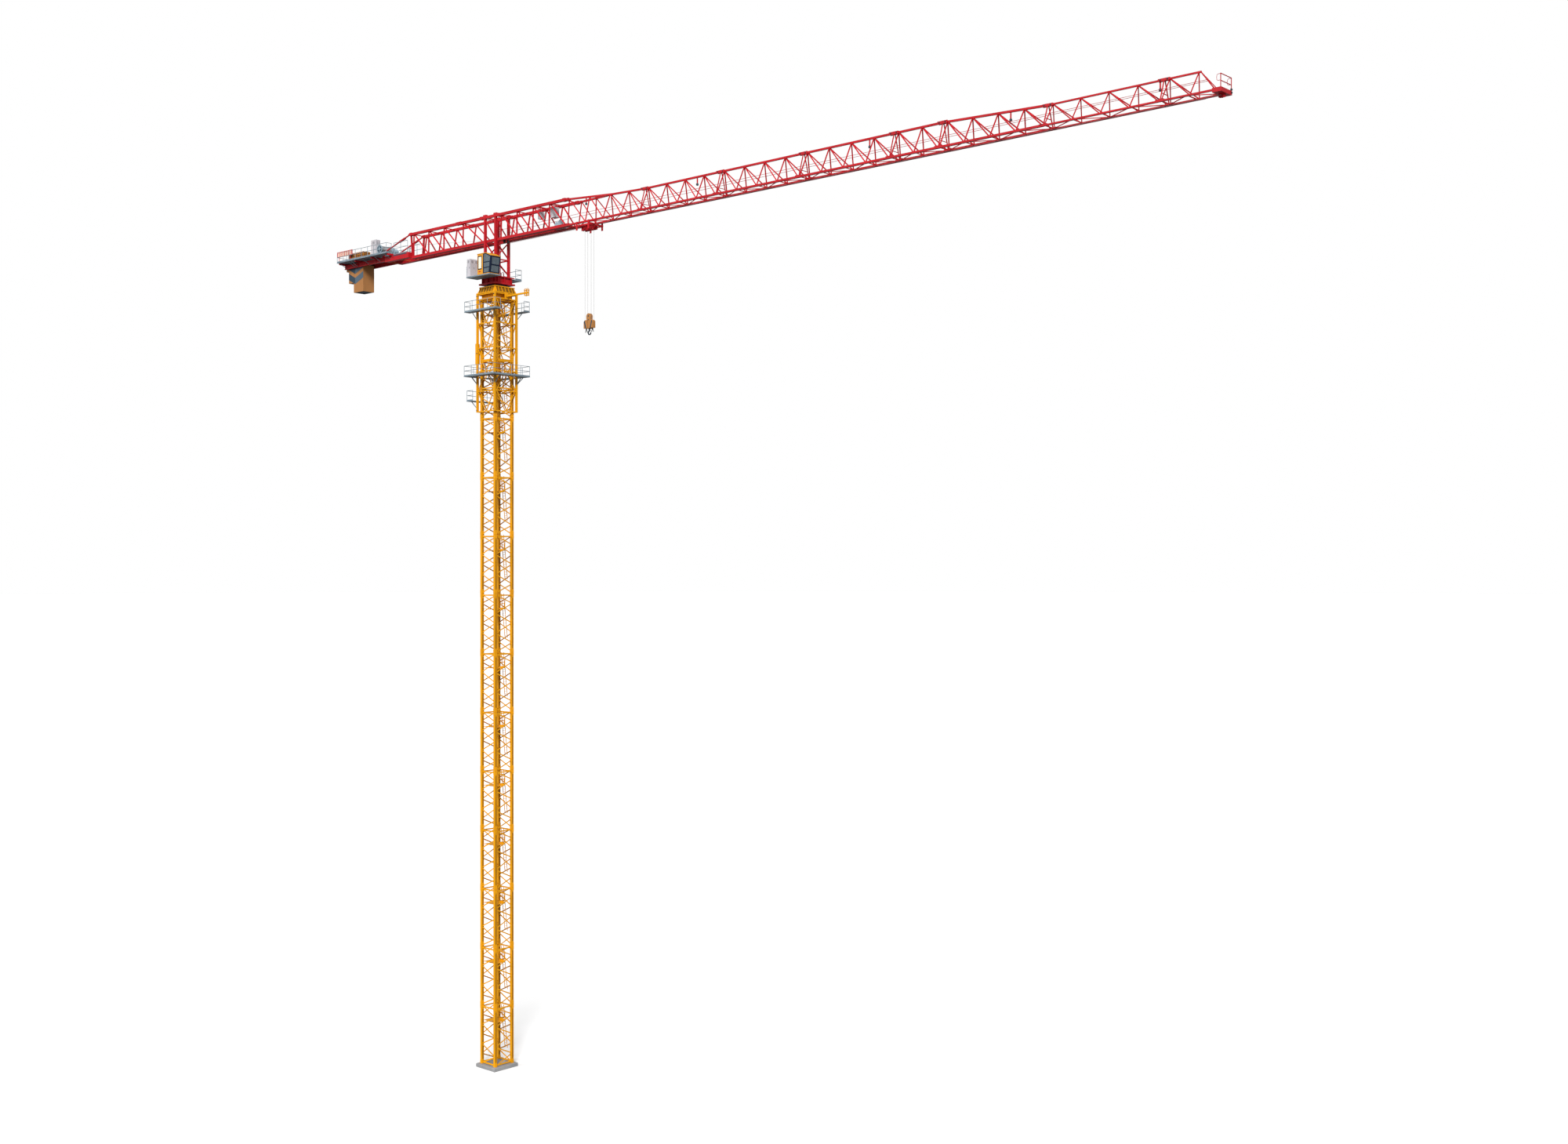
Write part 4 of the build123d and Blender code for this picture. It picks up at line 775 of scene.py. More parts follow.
def make_cab_plates():
    """The bare label on the cab's rear panel with its dark border, and a reflector."""
    label, border, reflector = Shape(), Shape(), Shape()
    wall_plate(label, LABEL, PAINT_THICKNESS)
    for plate in LABEL_SIDES:
        wall_plate(border, plate, LABEL_SIDE_PROUD)
    for plate in LABEL_ENDS:
        wall_plate(border, plate, LABEL_END_PROUD)
    wall_plate(reflector, REFLECTOR, LABEL_SIDE_PROUD)
    label.piece("cab_label", "label_white")
    border.piece("cab_label_border", "cab_frame")
    reflector.piece("cab_reflector", "crane_red")


def cab_front(z):
    """Where the cab's leaning front wall is at a height."""
    return FRONT_FOOT_X + FRONT_LEAN * (z - FRONT_FOOT_Z)


def make_cab_seals():
    """Dark seals over the window frames, along the cab's side and across its leaning front."""
    seals = Shape()
    tall = WINDOW_HEAD - WINDOW_FOOT

    def on_side(outline, proud):
        seals.prism([(x, CAB_WALL, z) for x, z in outline], -Y_AXIS * proud)

    def on_front(near, far, low, high, proud):
        corners = ((near, low), (far, low), (far, high), (near, high))
        seals.prism([(cab_front(z), y, z) for y, z in corners], X_AXIS * proud)

    foot_x, head_x = cab_front(WINDOW_FOOT), cab_front(WINDOW_HEAD)
    corner = [(foot_x - CORNER_SEAL_WIDTH, WINDOW_FOOT), (foot_x, WINDOW_FOOT)]
    corner += [(head_x, WINDOW_HEAD), (head_x - CORNER_SEAL_WIDTH, WINDOW_HEAD)]
    on_side(corner, SEAL_THICKNESS)
    middle = [(MIDDLE_SEAL_LEFT, WINDOW_FOOT), (MIDDLE_SEAL_RIGHT, WINDOW_FOOT)]
    middle += [(MIDDLE_SEAL_RIGHT, MIDDLE_SEAL_HEAD), (MIDDLE_SEAL_LEFT, MIDDLE_SEAL_HEAD)]
    on_side(middle, SEAL_THICKNESS)
    for share in SIDE_BAR_SHARES:
        z = WINDOW_FOOT + tall * share
        low, high = z - SIDE_BAR_HALF_HEIGHT, z + SIDE_BAR_HALF_HEIGHT
        strip = [(SIDE_BAR_START, low), (cab_front(low), low)]
        on_side(strip + [(cab_front(high), high), (SIDE_BAR_START, high)], CROSS_SEAL_THICKNESS)
    for near, far in FRONT_POSTS:
        on_front(near, far, WINDOW_FOOT, WINDOW_HEAD, SEAL_THICKNESS)
    for share in FRONT_BAR_SHARES:
        z = WINDOW_FOOT + tall * share
        low, high = z - FRONT_BAR_HALF_HEIGHT, z + FRONT_BAR_HALF_HEIGHT
        on_front(FRONT_BAR_NEAR, FRONT_BAR_FAR, low, high, CROSS_SEAL_THICKNESS)
    seals.piece("cab_window_seals", "cab_frame")


def make_cabinet_doors():
    """Door plates, handles and vents on the control cabinet and the winch cabinet."""
    plates, handles = Shape(), Shape()
    for name in ("control_cabinet", "winch_cabinet"):
        low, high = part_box(name)
        tall = (high.z - low.z) * UP
        length, width = (high.x - low.x) * X_AXIS, (high.y - low.y) * Y_AXIS
        doors(plates, handles, low, length, tall, -Y_AXIS, 1)
        doors(plates, handles, low + width, length, tall, Y_AXIS, 1)
        doors(plates, handles, low, width, tall, -X_AXIS, 2)
        doors(plates, handles, low + length, width, tall, X_AXIS, 2)
    plates.piece("cabinet_doors", "cabinet_white")
    handles.piece("cabinet_handles", "dark_steel")


# Jib: where its single top chord falls, its safety lines by place and distance from the middle, and lamps
FALL_START, FALL_LENGTH = 5.735, 1.0
TOP_CHORD_HALF = 0.007
TOWER_LEG_INSET = 0.014
SAFETY_LINE = ((0.30, 0.050), (NARROW_START, 0.040), (8.086, 0.017))
SAFETY_LINE_LIFT = 0.097
LAMP_PLACES = (1.455, 2.93, 4.97, 6.39, 7.70)
ROOT_LAMP_Y, ROOT_LAMP_LIFT = -0.055, 0.235
LAMP_DROP = 0.050
LAMP_STEM_LEAD = 0.004
LAMP = ((0, 0.006), (0.004, 0.011), (0.018, 0.012), (0.022, 0.007))


def top_z(x):
    """Height of the underside of the jib's single top chord."""
    fall = min(max((x - FALL_START) / FALL_LENGTH, 0.0), 1.0)
    return RAIL_Z + JIB_DEPTH + (TIP_DEPTH - JIB_DEPTH) * fall - TOP_CHORD_HALF


def make_jib_lines():
    """Two safety lines from the tower's legs to the tip's stays, and lamps under the top chords."""
    lines = Shape()
    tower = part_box("slewing_tower")[1]
    path = [(tower.x - TOWER_LEG_INSET, tower.y - TOWER_LEG_INSET), *SAFETY_LINE]
    for hand in BOTH:
        line = [(x, hand * y, RAIL_Z + SAFETY_LINE_LIFT) for x, y in path]
        lines.tube(line, radius=0.0018, sides=5)
    lines.piece("jib_safety_lines", "crane_red")
    stems, lamps = Shape(), Shape()
    for x in LAMP_PLACES:
        y, top = 0.0, top_z(x)
        if x < NARROW_START:
            y, top = ROOT_LAMP_Y, RAIL_Z + ROOT_LAMP_LIFT
        foot = (x, y, top - LAMP_DROP)
        stems.tube([(x, y, top + LAMP_STEM_LEAD), foot], radius=0.0065, sides=10)
        lamps.turned(foot, -UP, LAMP, sides=14)
    stems.piece("jib_lamp_stems", "crane_red")
    lamps.piece("jib_lamps", "dark_steel")


# Floor of the jib
SLAT_PITCH, SLAT_SHARE = 0.034, 0.84
SLAT_Y, SLAT_LIFT = 0.0315, 0.0065
SLAT_WIDTH, SLAT_THICKNESS = 0.037, 0.004
BAY = 0.248
BRACE_Y, BRACE_LIFT = 0.064, 0.009
BRACE_START = 0.01


def narrow_sections():
    """Names of the jib's sections between its root and its tip."""
    ends = ("jib_root_section", "jib_tip")
    return sorted(name for name in frame["nodes"] if name.startswith("jib_") and name not in ends)


def make_jib_floor():
    """Walkway slats in the root and the counter-jib, and flat bracing between the chords elsewhere."""
    slats, bracing = Shape(), Shape()
    for name in ("jib_root_section", "counter_jib_section_1", "counter_jib_section_2"):
        low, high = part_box(name)
        count = round((high.x - low.x) / SLAT_PITCH)
        step = (high.x - low.x) / count
        for index in range(count):
            middle = low.x + (index + 0.5) * step
            for y in (-SLAT_Y, SLAT_Y):
                slats.block((middle, y, low.z + SLAT_LIFT), (step * SLAT_SHARE, SLAT_WIDTH, SLAT_THICKNESS))
    slats.piece("walkway_slats", "floor_red")
    for name in narrow_sections():
        low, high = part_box(name)
        bays = max(1, round((high.x - low.x) / BAY))
        step = (high.x - low.x) / bays
        z = low.z + BRACE_LIFT
        for index in range(bays):
            x = low.x + index * step
            start = x + BRACE_START
            side = BRACE_Y if index % 2 else -BRACE_Y
            bracing.bar((start, -BRACE_Y, z), (start, BRACE_Y, z), width=0.007, depth=0.007)
            bracing.bar((start, -side, z), (x + step, side, z), width=0.006, depth=0.006)
    bracing.piece("jib_flat_bracing", "crane_red")


# Joints of the jib
CHORD_OUT = 0.078
HEAVY_CHORD, LIGHT_CHORD, LIGHT_START = 0.018, 0.014, 6.7
SPLICE_LENGTH, TOP_SPLICE_LENGTH = 0.07, 0.10
SPLICE_THICKNESS = 0.006
INNER_SPLICE_THICKNESS, INNER_SPLICE_LIFT = 0.004, 0.011
SPLICE_PIN, SPLICE_PIN_PLACE = ((0, 0.0045), (0.004, 0.0045), (0.005, 0.003)), 0.022
TOP_PIN, TOP_PIN_PLACE = ((0, 0.006), (0.004, 0.006), (0.005, 0.004)), 0.03
PIN_SIDES = 10
WAIST_LIFT, WAIST_HALF_WIDTH = 0.062, 0.042
LEG_HEAD_Y, LEG_FOOT_Y = 0.006, 0.066


def make_jib_splices():
    """Plates and pins where the chords of two jib sections meet, and the small frames between them."""
    plates, pins = Shape(), Shape()
    for name in narrow_sections():
        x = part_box(name)[0].x
        chord = LIGHT_CHORD if x > LIGHT_START else HEAVY_CHORD
        chord_top = CHORD_UNDER + chord
        for hand in BOTH:
            middle = hand * (CHORD_OUT - chord / 2)
            inner = hand * (CHORD_OUT - chord - INNER_SPLICE_THICKNESS / 2)
            cover = (SPLICE_LENGTH, chord, SPLICE_THICKNESS)
            plates.block((x, middle, chord_top + SPLICE_THICKNESS / 2), cover)
            cheek = (SPLICE_LENGTH, INNER_SPLICE_THICKNESS, chord)
            plates.block((x, inner, CHORD_UNDER + INNER_SPLICE_LIFT), cheek)
            for side in BOTH:
                pin = (x + side * SPLICE_PIN_PLACE, middle, chord_top + SPLICE_THICKNESS)
                pins.turned(pin, UP, SPLICE_PIN, PIN_SIDES)
        if name == "jib_merging_section":
            continue
        crown = top_z(x) + TOP_CHORD_HALF
        waist = [(x, hand * WAIST_HALF_WIDTH, RAIL_Z + WAIST_LIFT) for hand in BOTH]
        plates.bar(*waist, width=0.005, depth=0.005)
        for hand in BOTH:
            leg = (x, hand * LEG_HEAD_Y, crown), (x, hand * LEG_FOOT_Y, chord_top)
            plates.bar(*leg, width=0.007, depth=0.007)
            cheek = (TOP_SPLICE_LENGTH, SPLICE_THICKNESS, chord + SPLICE_THICKNESS)
            plates.block((x, hand * (chord + SPLICE_THICKNESS) / 2, crown), cheek)
            for side in BOTH:
                pin = (x + side * TOP_PIN_PLACE, hand * (chord / 2 + SPLICE_THICKNESS), crown)
                pins.turned(pin, Y_AXIS * hand, TOP_PIN, PIN_SIDES)
    plates.piece("jib_splice_plates", "crane_red")
    pins.piece("jib_splice_pins", "dark_steel")


def coils(start, pitch, inner, outer, count):
    """A drum's profile with rope laid on it."""
    return [(start + pitch * step, inner if step % 2 else outer) for step in range(count)]


# Cabinets in the jib's root, by start, end, half width, foot and head over the rail, and their hangers
JIB_CABINETS = ((0.885, 0.955, 0.028, 0.122, 0.222), (0.685, 0.735, 0.022, 0.138, 0.205))
HANGERS = ((0.695, 0.200), (0.725, 0.200), (0.900, 0.218), (0.940, 0.218))
HANGER_DROP, HANGER_HALF_WIDTH = 0.014, 0.090

# The trolley's winch on the walkway: its base, gearbox and control box, its drum, flanges and motor
WALK_Z = CHORD_UNDER + SLAT_LIFT + SLAT_THICKNESS / 2
WINCH_BOXES = (
    ((0.935, -0.048, 0.0), (1.075, 0.048, 0.012)),
    ((1.008, -0.034, 0.012), (1.026, 0.038, 0.072)),
    ((1.030, -0.040, 0.012), (1.072, -0.012, 0.078)),
)
DRUM_X, DRUM_START, DRUM_LIFT = 0.985, -0.032, 0.040
DRUM = coils(start=0, pitch=0.0017, inner=0.0195, outer=0.0215, count=37)
FLANGE_PLACES, FLANGE = (-0.036, 0.030), ((0, 0.028), (0.005, 0.028))
MOTOR_PLACE, MOTOR = (1.020, -0.005, 0.032), ((0, 0.018), (0.04, 0.018), (0.05, 0.012))

# Guide sheaves of the two ropes
HOIST_LINE_Y, TROLLEY_LINE_Y = 0.018, -0.030
GUIDE_X, GUIDE_DROP = 0.16, 0.007
GUIDE_WHEEL = ((-0.003, 0.018), (-0.001, 0.015), (0.001, 0.015), (0.003, 0.018))
CHEEK_SPREAD, CHEEK_DROP = 0.005, 0.012
CHEEK_LENGTH, CHEEK_THICKNESS = 0.012, 0.002
GUIDE_BASE_LIFT, GUIDE_BASE_SIZE = 0.001, (0.024, 0.104, 0.006)


def make_jib_machinery():
    """The two small cabinets and the trolley's winch in the jib's root, and the guide sheaves."""
    boxes, hangers, machine, dark = Shape(), Shape(), Shape(), Shape()
    for start, end, half, foot, head in JIB_CABINETS:
        boxes.box((start, -half, RAIL_Z + foot), (end, half, RAIL_Z + head))
    boxes.piece("jib_cabinets", "cabinet_white")
    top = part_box("jib_root_section")[1].z - HANGER_DROP
    for x, foot in HANGERS:
        ends = [(x, hand * HANGER_HALF_WIDTH, top) for hand in BOTH]
        hangers.bar(*ends, width=0.008, depth=0.008)
        hangers.tube([(x, 0, RAIL_Z + foot), (x, 0, top)], radius=0.003)
    hangers.piece("jib_cabinet_hangers", "crane_red")
    lift = UP * WALK_Z
    for low, high in WINCH_BOXES:
        machine.box(lift + Vector(low), lift + Vector(high))
    drum_z = WALK_Z + DRUM_LIFT
    machine.turned((DRUM_X, DRUM_START, drum_z), Y_AXIS, DRUM, sides=20)
    for y in FLANGE_PLACES:
        machine.turned((DRUM_X, y, drum_z), Y_AXIS, FLANGE)
    machine.turned(lift + Vector(MOTOR_PLACE), X_AXIS, MOTOR, sides=18)
    machine.piece("trolley_winch", "winch_grey")
    cheek_foot = CHORD_UNDER - CHEEK_DROP
    cheek_size = (CHEEK_LENGTH, CHEEK_THICKNESS, WALK_Z - cheek_foot)
    for y in (TROLLEY_LINE_Y, HOIST_LINE_Y):
        dark.turned((GUIDE_X, y, CHORD_UNDER - GUIDE_DROP), Y_AXIS, GUIDE_WHEEL, sides=20)
        for side in BOTH:
            dark.block((GUIDE_X, y + side * CHEEK_SPREAD, (cheek_foot + WALK_Z) / 2), cheek_size)
    dark.block((GUIDE_X, 0, WALK_Z + GUIDE_BASE_LIFT), GUIDE_BASE_SIZE)
    dark.piece("rope_guides", "dark_steel")


# Tip: a hoop at either side of the gate, by its distance from the gate and height over the rail, and buffers
GATE_HALF_BAR = 0.0025
GATE_HOOP = ((0, 0.101), (0.024, 0.101), (0.032, 0.095), (0.034, 0.077))
GATE_HOOP += ((0.032, 0.061), (0.024, 0.055), (0, 0.055))
BUFFER_LIFTS, BUFFER_SIZE = (0.006, 0.028), (0.011, 0.015, 0.012)
BUFFER_X, BUFFER_INSET = 0.0015, 0.0085


def make_jib_tip():
    """Hoops on the tip's gate, and buffers on its end."""
    hoops, dark = Shape(), Shape()
    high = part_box("jib_tip")[1]
    gate = high.x - GATE_HALF_BAR
    for hand in BOTH:
        y = hand * (high.y - GATE_HALF_BAR)
        hoops.tube([(gate - back, y, RAIL_Z + lift) for back, lift in GATE_HOOP], radius=0.0018)
    for lift in BUFFER_LIFTS:
        dark.block((gate + BUFFER_X, high.y - BUFFER_INSET, CHORD_UNDER + lift), BUFFER_SIZE)
    hoops.piece("tip_gate_hoops", "crane_red")
    dark.piece("tip_buffers", "dark_steel")


# Ropes
DRUM_ROPE_DROP = 0.012
ROPE_BEND_X, ROPE_BEND_LIFT, ROPE_GUIDE_X = -0.05, 0.030, 0.155
LINE_DROP = 0.024
TIP_ANCHOR, TROLLEY_ANCHOR = 0.03, 0.004


def make_ropes():
    """The falls to the hook block, the hoist rope from its drum, and the ropes along the jib."""
    fall_low, fall_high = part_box("hoist_falls")
    falls = Shape()
    for x in (fall_low.x + ROPE_RADIUS, fall_high.x - ROPE_RADIUS):
        for y in (fall_low.y + ROPE_RADIUS, fall_high.y - ROPE_RADIUS):
            falls.tube([(x, y, fall_high.z), (x, y, fall_low.z)], ROPE_RADIUS, sides=8)
    piece = falls.piece("rope_falls", "rope_steel", None)
    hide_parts("hoist_falls")
    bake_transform(piece)

    winch_low, winch_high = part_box("hoist_winch")
    path = [((winch_low.x + winch_high.x) / 2, winch_high.z - DRUM_ROPE_DROP)]
    path += [(ROPE_BEND_X, RAIL_Z + ROPE_BEND_LIFT), (ROPE_GUIDE_X, RAIL_Z)]
    lead = Shape()
    lead.tube([(x, HOIST_LINE_Y, z) for x, z in path], ROPE_RADIUS)
    lead.piece("hoist_rope_to_drum", "rope_steel")

    trolley_low, trolley_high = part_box("trolley")
    line = CHORD_UNDER - LINE_DROP
    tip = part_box("jib_tip")[1].x - TIP_ANCHOR
    runs = (
        ("hoist_rope_to_root", GUIDE_X, fall_low.x, HOIST_LINE_Y),
        ("hoist_rope_to_tip", tip, fall_high.x, -HOIST_LINE_Y),
        ("trolley_rope_to_root", GUIDE_X, trolley_low.x + TROLLEY_ANCHOR, TROLLEY_LINE_Y),
        ("trolley_rope_to_tip", tip, trolley_high.x - TROLLEY_ANCHOR, TROLLEY_LINE_Y),
    )
    for name, start_x, end_x, y in runs:
        start, end = (start_x, y, line), (end_x, y, line)
        rope = Shape()
        rope.tube([start, end], ROPE_RADIUS)
        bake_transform(rope.piece(name, "rope_steel", None))


# Ballast marks: two wide V bands that point down
BALLAST_WALL = 0.072
UNDERSIDE_INSET = 0.003
BAND_LEFT, BAND_POINT, BAND_RIGHT = -2.581, -2.457, -2.300
BAND_HEIGHT, BAND_RISE = 0.071, 0.060
BAND_FEET = (8.380, 8.495)
BAND_TOP_INSET = 0.001


def make_ballast_marks():
    """Dark V bands across the front ballast blocks' sides, and a dark plate of painted shade on the first
    block's underside.
    """
    left, right = Shape(), Shape()
    low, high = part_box("ballast_block_1")
    top = high.z - BAND_TOP_INSET
    for foot in BAND_FEET:
        inner = foot + BAND_HEIGHT
        outer = inner + BAND_RISE
        for shape, end in ((left, BAND_LEFT), (right, BAND_RIGHT)):
            outline = [(BAND_POINT, foot), (end, foot + BAND_RISE), (end, min(outer, top))]
            if outer > top:
                share = (top - inner) / BAND_RISE
                outline.append((BAND_POINT + (end - BAND_POINT) * share, top))
            outline.append((BAND_POINT, inner))
            for hand in BOTH:
                rim = [(x, hand * BALLAST_WALL, z) for x, z in outline]
                shape.prism(rim, Y_AXIS * hand * PAINT_THICKNESS)
    # Painted shade: a dark plate under the first block
    inset = Vector((UNDERSIDE_INSET, UNDERSIDE_INSET - BALLAST_WALL, 0))
    left.box((low.x + inset.x, inset.y, low.z - PAINT_THICKNESS), (high.x - inset.x, -inset.y, low.z))
    left.piece("ballast_marks_rear_and_underside_shade", "dark_marks_and_shade")
    right.piece("ballast_marks_front", "mark_light")


# Counter-jib girders
GIRDER_TOP_DROP = 0.016
STIFFENER_PLACES = (-2.615, -2.40, -2.36, -2.20, -2.02, -1.845)
STIFFENER_Y, STIFFENER_DROP, STIFFENER_SIZE = 0.0945, 0.023, (0.005, 0.007, 0.033)
STRUT_PLACES = (-2.60, -2.43, -2.38, -2.16, -1.94, -1.735)
STRUT_HEAD_Y, STRUT_FOOT_Y, STRUT_LEAN, STRUT_DROP = 0.184, 0.100, 0.012, 0.040
# Painted shade: each slot is a thin dark strip on the girder's side
SLOT_X, SLOT_Y, SLOT_DROP, SLOT_SIZE = -1.545, 0.1131, 0.009, (0.247, 0.0012, 0.012)
ROD_PLACES = (-1.83, -1.62, -1.45)
ROD_HALF_WIDTH, ROD_LEAN, ROD_LIFT = 0.066, 0.03, 0.006


def make_girder_fittings():
    """Stiffeners on the counter-jib's girders, struts under its deck, cross rods, and dark strips of painted
    shade in the girders' slots.
    """
    ribs, struts, rods, slots = Shape(), Shape(), Shape(), Shape()
    low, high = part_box("counter_girders")
    top = high.z - GIRDER_TOP_DROP
    for hand in BOTH:
        for x in STIFFENER_PLACES:
            ribs.block((x, hand * STIFFENER_Y, top - STIFFENER_DROP), STIFFENER_SIZE)
        for x in STRUT_PLACES:
            foot = (x + STRUT_LEAN, hand * STRUT_FOOT_Y, top - STRUT_DROP)
            struts.tube([(x, hand * STRUT_HEAD_Y, high.z), foot], radius=0.0032)
        # Painted shade: a dark strip for the shadow in the slot
        slots.block((SLOT_X, hand * SLOT_Y, top - SLOT_DROP), SLOT_SIZE)
    rod_z = low.z + ROD_LIFT
    for x in ROD_PLACES:
        rods.tube([(x, -ROD_HALF_WIDTH, rod_z), (x + ROD_LEAN, ROD_HALF_WIDTH, rod_z)], radius=0.003)
    ribs.piece("girder_stiffeners", "crane_red")
    struts.piece("deck_struts", "galvanised")
    rods.piece("girder_rods", "resistor_orange")
    slots.piece("girder_slot_shade", "dark_marks_and_shade")


# Hoist winch
HOIST_AXIS_DROP, HOIST_FACE = 0.048, 0.073
# Painted shade: a thin dark disc on each flange face for the shadow in its recess
RECESS_SHADE = ((0, 0.041), (0.0006, 0.041))
HUB = ((0, 0.014), (0.008, 0.014), (0.012, 0.008))
SPOKES, SPOKE_START, SPOKE_END, SPOKE_PROUD = 6, 0.012, 0.044, 0.001
RIM_STEPS, RIM_RADIUS, RIM_PROUD = 32, 0.0445, 0.0006
GEARBOX_HALF, GEARBOX_NEAR, GEARBOX_FAR = 0.03, 0.086, 0.106
HOIST_MOTOR = ((0, 0.026), (0.008, 0.026), (0.009, 0.029), (0.046, 0.029), (0.047, 0.024), (0.060, 0.024))


def make_winch_fittings():
    """The hoist winch's rope layers, spoked flanges with dark discs of painted shade in their recesses,
    gearbox and motor.
    """
    rope, metal, dark = Shape(), Shape(), Shape()
    low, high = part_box("hoist_winch")
    axis = Vector(((low.x + high.x) / 2, 0, high.z - HOIST_AXIS_DROP))
    layers = coils(start=-0.063, pitch=0.0021, inner=0.0355, outer=0.0385, count=61)
    rope.turned(axis, Y_AXIS, layers, sides=28)
    rope.piece("winch_rope", "rope_steel")
    spokes = [Vector((cos(turn), 0, sin(turn))) for turn in ring_turns(SPOKES)]
    rim = [Vector((cos(turn), 0, sin(turn))) for turn in ring_turns(RIM_STEPS)]
    for hand in BOTH:
        out = Y_AXIS * hand
        face = axis + out * HOIST_FACE
        # Painted shade in the flange's recess
        dark.turned(face, out, RECESS_SHADE, sides=32)
        metal.turned(face, out, HUB, sides=20)
        seat = face + out * SPOKE_PROUD
        for spoke in spokes:
            metal.bar(seat + spoke * SPOKE_START, seat + spoke * SPOKE_END, width=0.004, depth=0.006)
        seat = face + out * RIM_PROUD
        metal.tube([seat + spoke * RIM_RADIUS for spoke in rim + rim[:1]], radius=0.003, sides=8)
    gearbox_top = (axis.x + GEARBOX_HALF, GEARBOX_FAR, axis.z + GEARBOX_HALF)
    metal.box((axis.x - GEARBOX_HALF, GEARBOX_NEAR, low.z), gearbox_top)
    metal.turned(axis + Y_AXIS * GEARBOX_FAR, Y_AXIS, HOIST_MOTOR)
    metal.piece("winch_flanges", "winch_grey")
    dark.piece("winch_recess_shade", "dark_marks_and_shade")


# Resistor grilles and sign
GRILLE_INSET, GRILLE_DEPTH, GRILLE_UPRIGHT = 0.006, 0.004, 0.010
GRILLE_LEVEL, GRILLE_LEVEL_DEPTH = 0.009, 0.0032
GRILLE_UPRIGHTS, GRILLE_LEVELS = (9, 4), 4
OPENING_DEPTH = 0.0012
SIGN_DROP, SIGN_BOARD, SIGN_SLAT = 0.030, (0.288, 0.0012, 0.050), (0.011, 0.003, 0.050)
SIGN_SLATS, SIGN_SLAT_INSET = 11, 0.012


def spread(low, high, count, inset):
    """Even places from an inset at one end to the same inset at the other."""
    return [low + inset + step * (high - low - 2 * inset) / (count - 1) for step in range(count)]


def make_resistor_grilles():
    """A cage of slats round the resistor boxes, over dark plates of painted shade where their openings are.
    """
    slats, dark = Shape(), Shape()
    low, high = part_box("resistor_boxes")
    middle, size = (low + high) / 2, high - low
    opening = size - Vector((GRILLE_INSET,) * 3)
    for across, along in ((1, 0), (0, 1)):
        # Places and sizes are given along a face, out of it and up, and put in the order of the axes
        order = (along, across, 2)
        for face, hand in ((low[across], -1), (high[across], 1)):
            out = face + hand * GRILLE_DEPTH / 2
            # Painted shade: a near-black plate on each face for the shade inside the box's opening
            hole = (middle[along], face, middle.z), (opening[along], OPENING_DEPTH, opening.z)
            dark.block(*[[row[axis] for axis in order] for row in hole])
            rows = []
            for place in spread(low[along], high[along], GRILLE_UPRIGHTS[along], GRILLE_INSET):
                rows.append(((place, out, middle.z), (GRILLE_UPRIGHT, GRILLE_DEPTH, size.z)))
            for z in spread(low.z, high.z, GRILLE_LEVELS, GRILLE_INSET):
                rows.append(((middle[along], out, z), (size[along], GRILLE_LEVEL_DEPTH, GRILLE_LEVEL)))
            for slat in rows:
                slats.block(*[[row[axis] for axis in order] for row in slat])
    slats.piece("resistor_slats", "resistor_orange")
    dark.piece("resistor_opening_shade", "cab_inside")


def make_sign():
    """The bare sign: pale boards in the red frame, held by upright slats."""
    boards, slats = Shape(), Shape()
    low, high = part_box("sign_panel")
    z = high.z - SIGN_DROP
    for y, hand in ((low.y, -1), (high.y, 1)):
        boards.block(((low.x + high.x) / 2, y + hand * SIGN_BOARD[1] / 2, z), SIGN_BOARD)
        for x in spread(low.x, high.x, SIGN_SLATS, SIGN_SLAT_INSET):
            slats.block((x, y + hand * SIGN_SLAT[1] / 2, z), SIGN_SLAT)
    boards.piece("sign_boards", "label_white")
    slats.piece("sign_slats", "crane_red")


# Hook block: a stripe on each housing, by place and height, and two pins, by drop and radius
HOOK_FOOT_DROP = 0.143
HOOK_STRIPE = ((0.041, 0.0), (0.0612, 0.0643), (0.0492, 0.0763), (0.026, 0.0))
HOOK_PINS = ((0.026, 0.007), (0.062, 0.005))
HOOK_PLATE_HALF, HOOK_PIN_PROUD = 0.015, 0.003


def make_hook_marks():
    """Dark slanting stripes and pins on the hook block."""
    marks = Shape()
    low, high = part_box("hook_block")
    middle = (low.x + high.x) / 2
    foot = high.z - HOOK_FOOT_DROP
    for side in BOTH:
        for hand in BOTH:
            rim = [(middle + hand * x, side * high.y, foot + z) for x, z in HOOK_STRIPE]
            marks.prism(rim, Y_AXIS * side * PAINT_THICKNESS)
        for drop, radius in HOOK_PINS:
            pin = (middle, side * HOOK_PLATE_HALF, high.z - drop)
            marks.turned(pin, Y_AXIS * side, ((0, radius), (HOOK_PIN_PROUD, radius)), sides=16)
    marks.piece("hook_block_marks", "dark_marks_and_shade", "block")


def make_camera():
    """A camera at the photograph's viewing angle."""
    data = bpy.data.cameras.new("camera")
    data.lens = CAMERA_LENS
    data.sensor_fit = "HORIZONTAL"
    data.sensor_width = SENSOR_WIDTH
    data.clip_end = VIEW_END
    camera = bpy.data.objects.new("camera", data)
    camera.location = CAMERA_PLACE
    camera.rotation_euler = (radians(90), 0, radians(CAMERA_TURN))
    bpy.context.scene.collection.objects.link(camera)
    bpy.context.scene.camera = camera


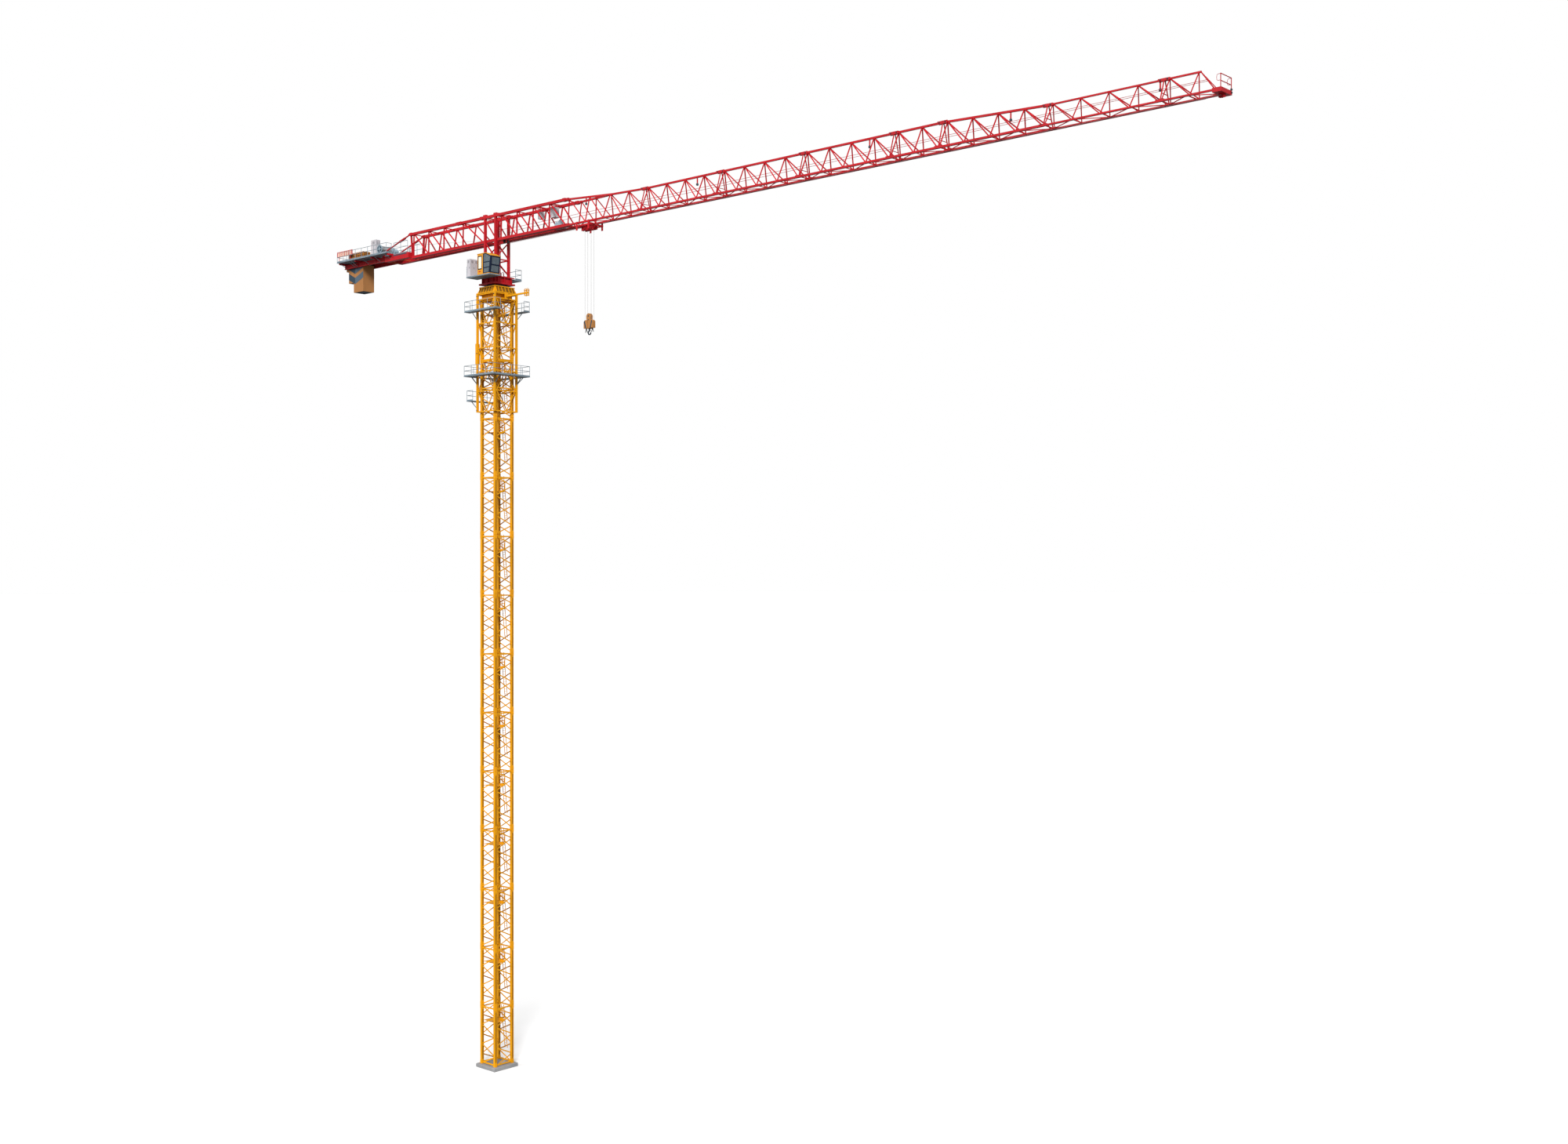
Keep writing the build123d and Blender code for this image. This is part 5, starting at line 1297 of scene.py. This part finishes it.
def make_floor():
    """A pale floor that catches the part's shadow but throws no light up at it."""
    finish = Finish("floor")
    grey, pale = (0.86, 0.86, 0.86), (0.9, 0.9, 0.9)
    finish.set(Base_Color=finish.ramp(finish.noise(scale=0.8, detail=3.0), [(0.3, grey), (0.7, pale)]))
    finish.set(Roughness=0.9)
    mesh = bpy.data.meshes.new("floor")
    rim = [(FLOOR_RADIUS * cos(turn), FLOOR_RADIUS * sin(turn), 0) for turn in ring_turns(FLOOR_SIDES)]
    mesh.from_pydata(rim, [], [range(FLOOR_SIDES)])
    mesh.materials.append(finish.material)
    floor = bpy.data.objects.new("floor", mesh)
    floor.visible_diffuse = False
    floor.visible_glossy = False
    bpy.context.scene.collection.objects.link(floor)


def make_suns():
    """A key light from behind the camera, and a fill from its left."""
    for name, (strength, tilt, turn) in SUNS.items():
        sun = bpy.data.lights.new(name, "SUN")
        sun.energy = strength
        sun.angle = radians(SUN_ANGLE)
        lamp = bpy.data.objects.new(name, sun)
        lamp.rotation_euler = (radians(tilt), 0, radians(turn))
        bpy.context.scene.collection.objects.link(lamp)


def make_sky():
    """A soft sky with little light from below, which the camera sees as plain white."""
    world = bpy.data.worlds.new("sky")
    world.use_nodes = True
    tree = world.node_tree
    tree.nodes.clear()
    place = add_node(tree, "TexCoord").outputs["Generated"]
    split = add_node(tree, "SeparateXYZ", Vector=place)
    height = add_node(tree, "MapRange", Value=split.outputs["Z"], To_Min=GROUND_LIGHT, To_Max=SKY_LIGHT)
    feed(height.inputs["From Min"], -HORIZON_BAND)
    feed(height.inputs["From Max"], HORIZON_BAND)
    light = add_node(tree, "Background", Color=WHITE, Strength=height.outputs["Result"])
    seen = add_node(tree, "Background", Color=WHITE, Strength=SKY_SEEN)
    chosen = add_node(tree, "MixShader")
    camera_ray = add_node(tree, "LightPath").outputs["Is Camera Ray"]
    for socket, source in zip(chosen.inputs, (camera_ray, light.outputs[0], seen.outputs[0])):
        feed(socket, source)
    add_node(tree, "OutputWorld", Surface=chosen.outputs[0])
    bpy.context.scene.world = world
    bpy.context.scene.view_settings.view_transform = "Standard"


make_camera()
dress_nodes()
make_mast_joints()
make_mast_ladders()
make_cage_rails()
make_cage_fittings()
make_slewing_fittings()
make_support_panels()
make_platform_rails()
make_cab_inside()
make_cab_plates()
make_cab_seals()
make_cabinet_doors()
make_jib_lines()
make_jib_floor()
make_jib_splices()
make_jib_machinery()
make_jib_tip()
make_ropes()
make_ballast_marks()
make_girder_fittings()
make_winch_fittings()
make_resistor_grilles()
make_sign()
make_hook_marks()
make_floor()
make_suns()
make_sky()
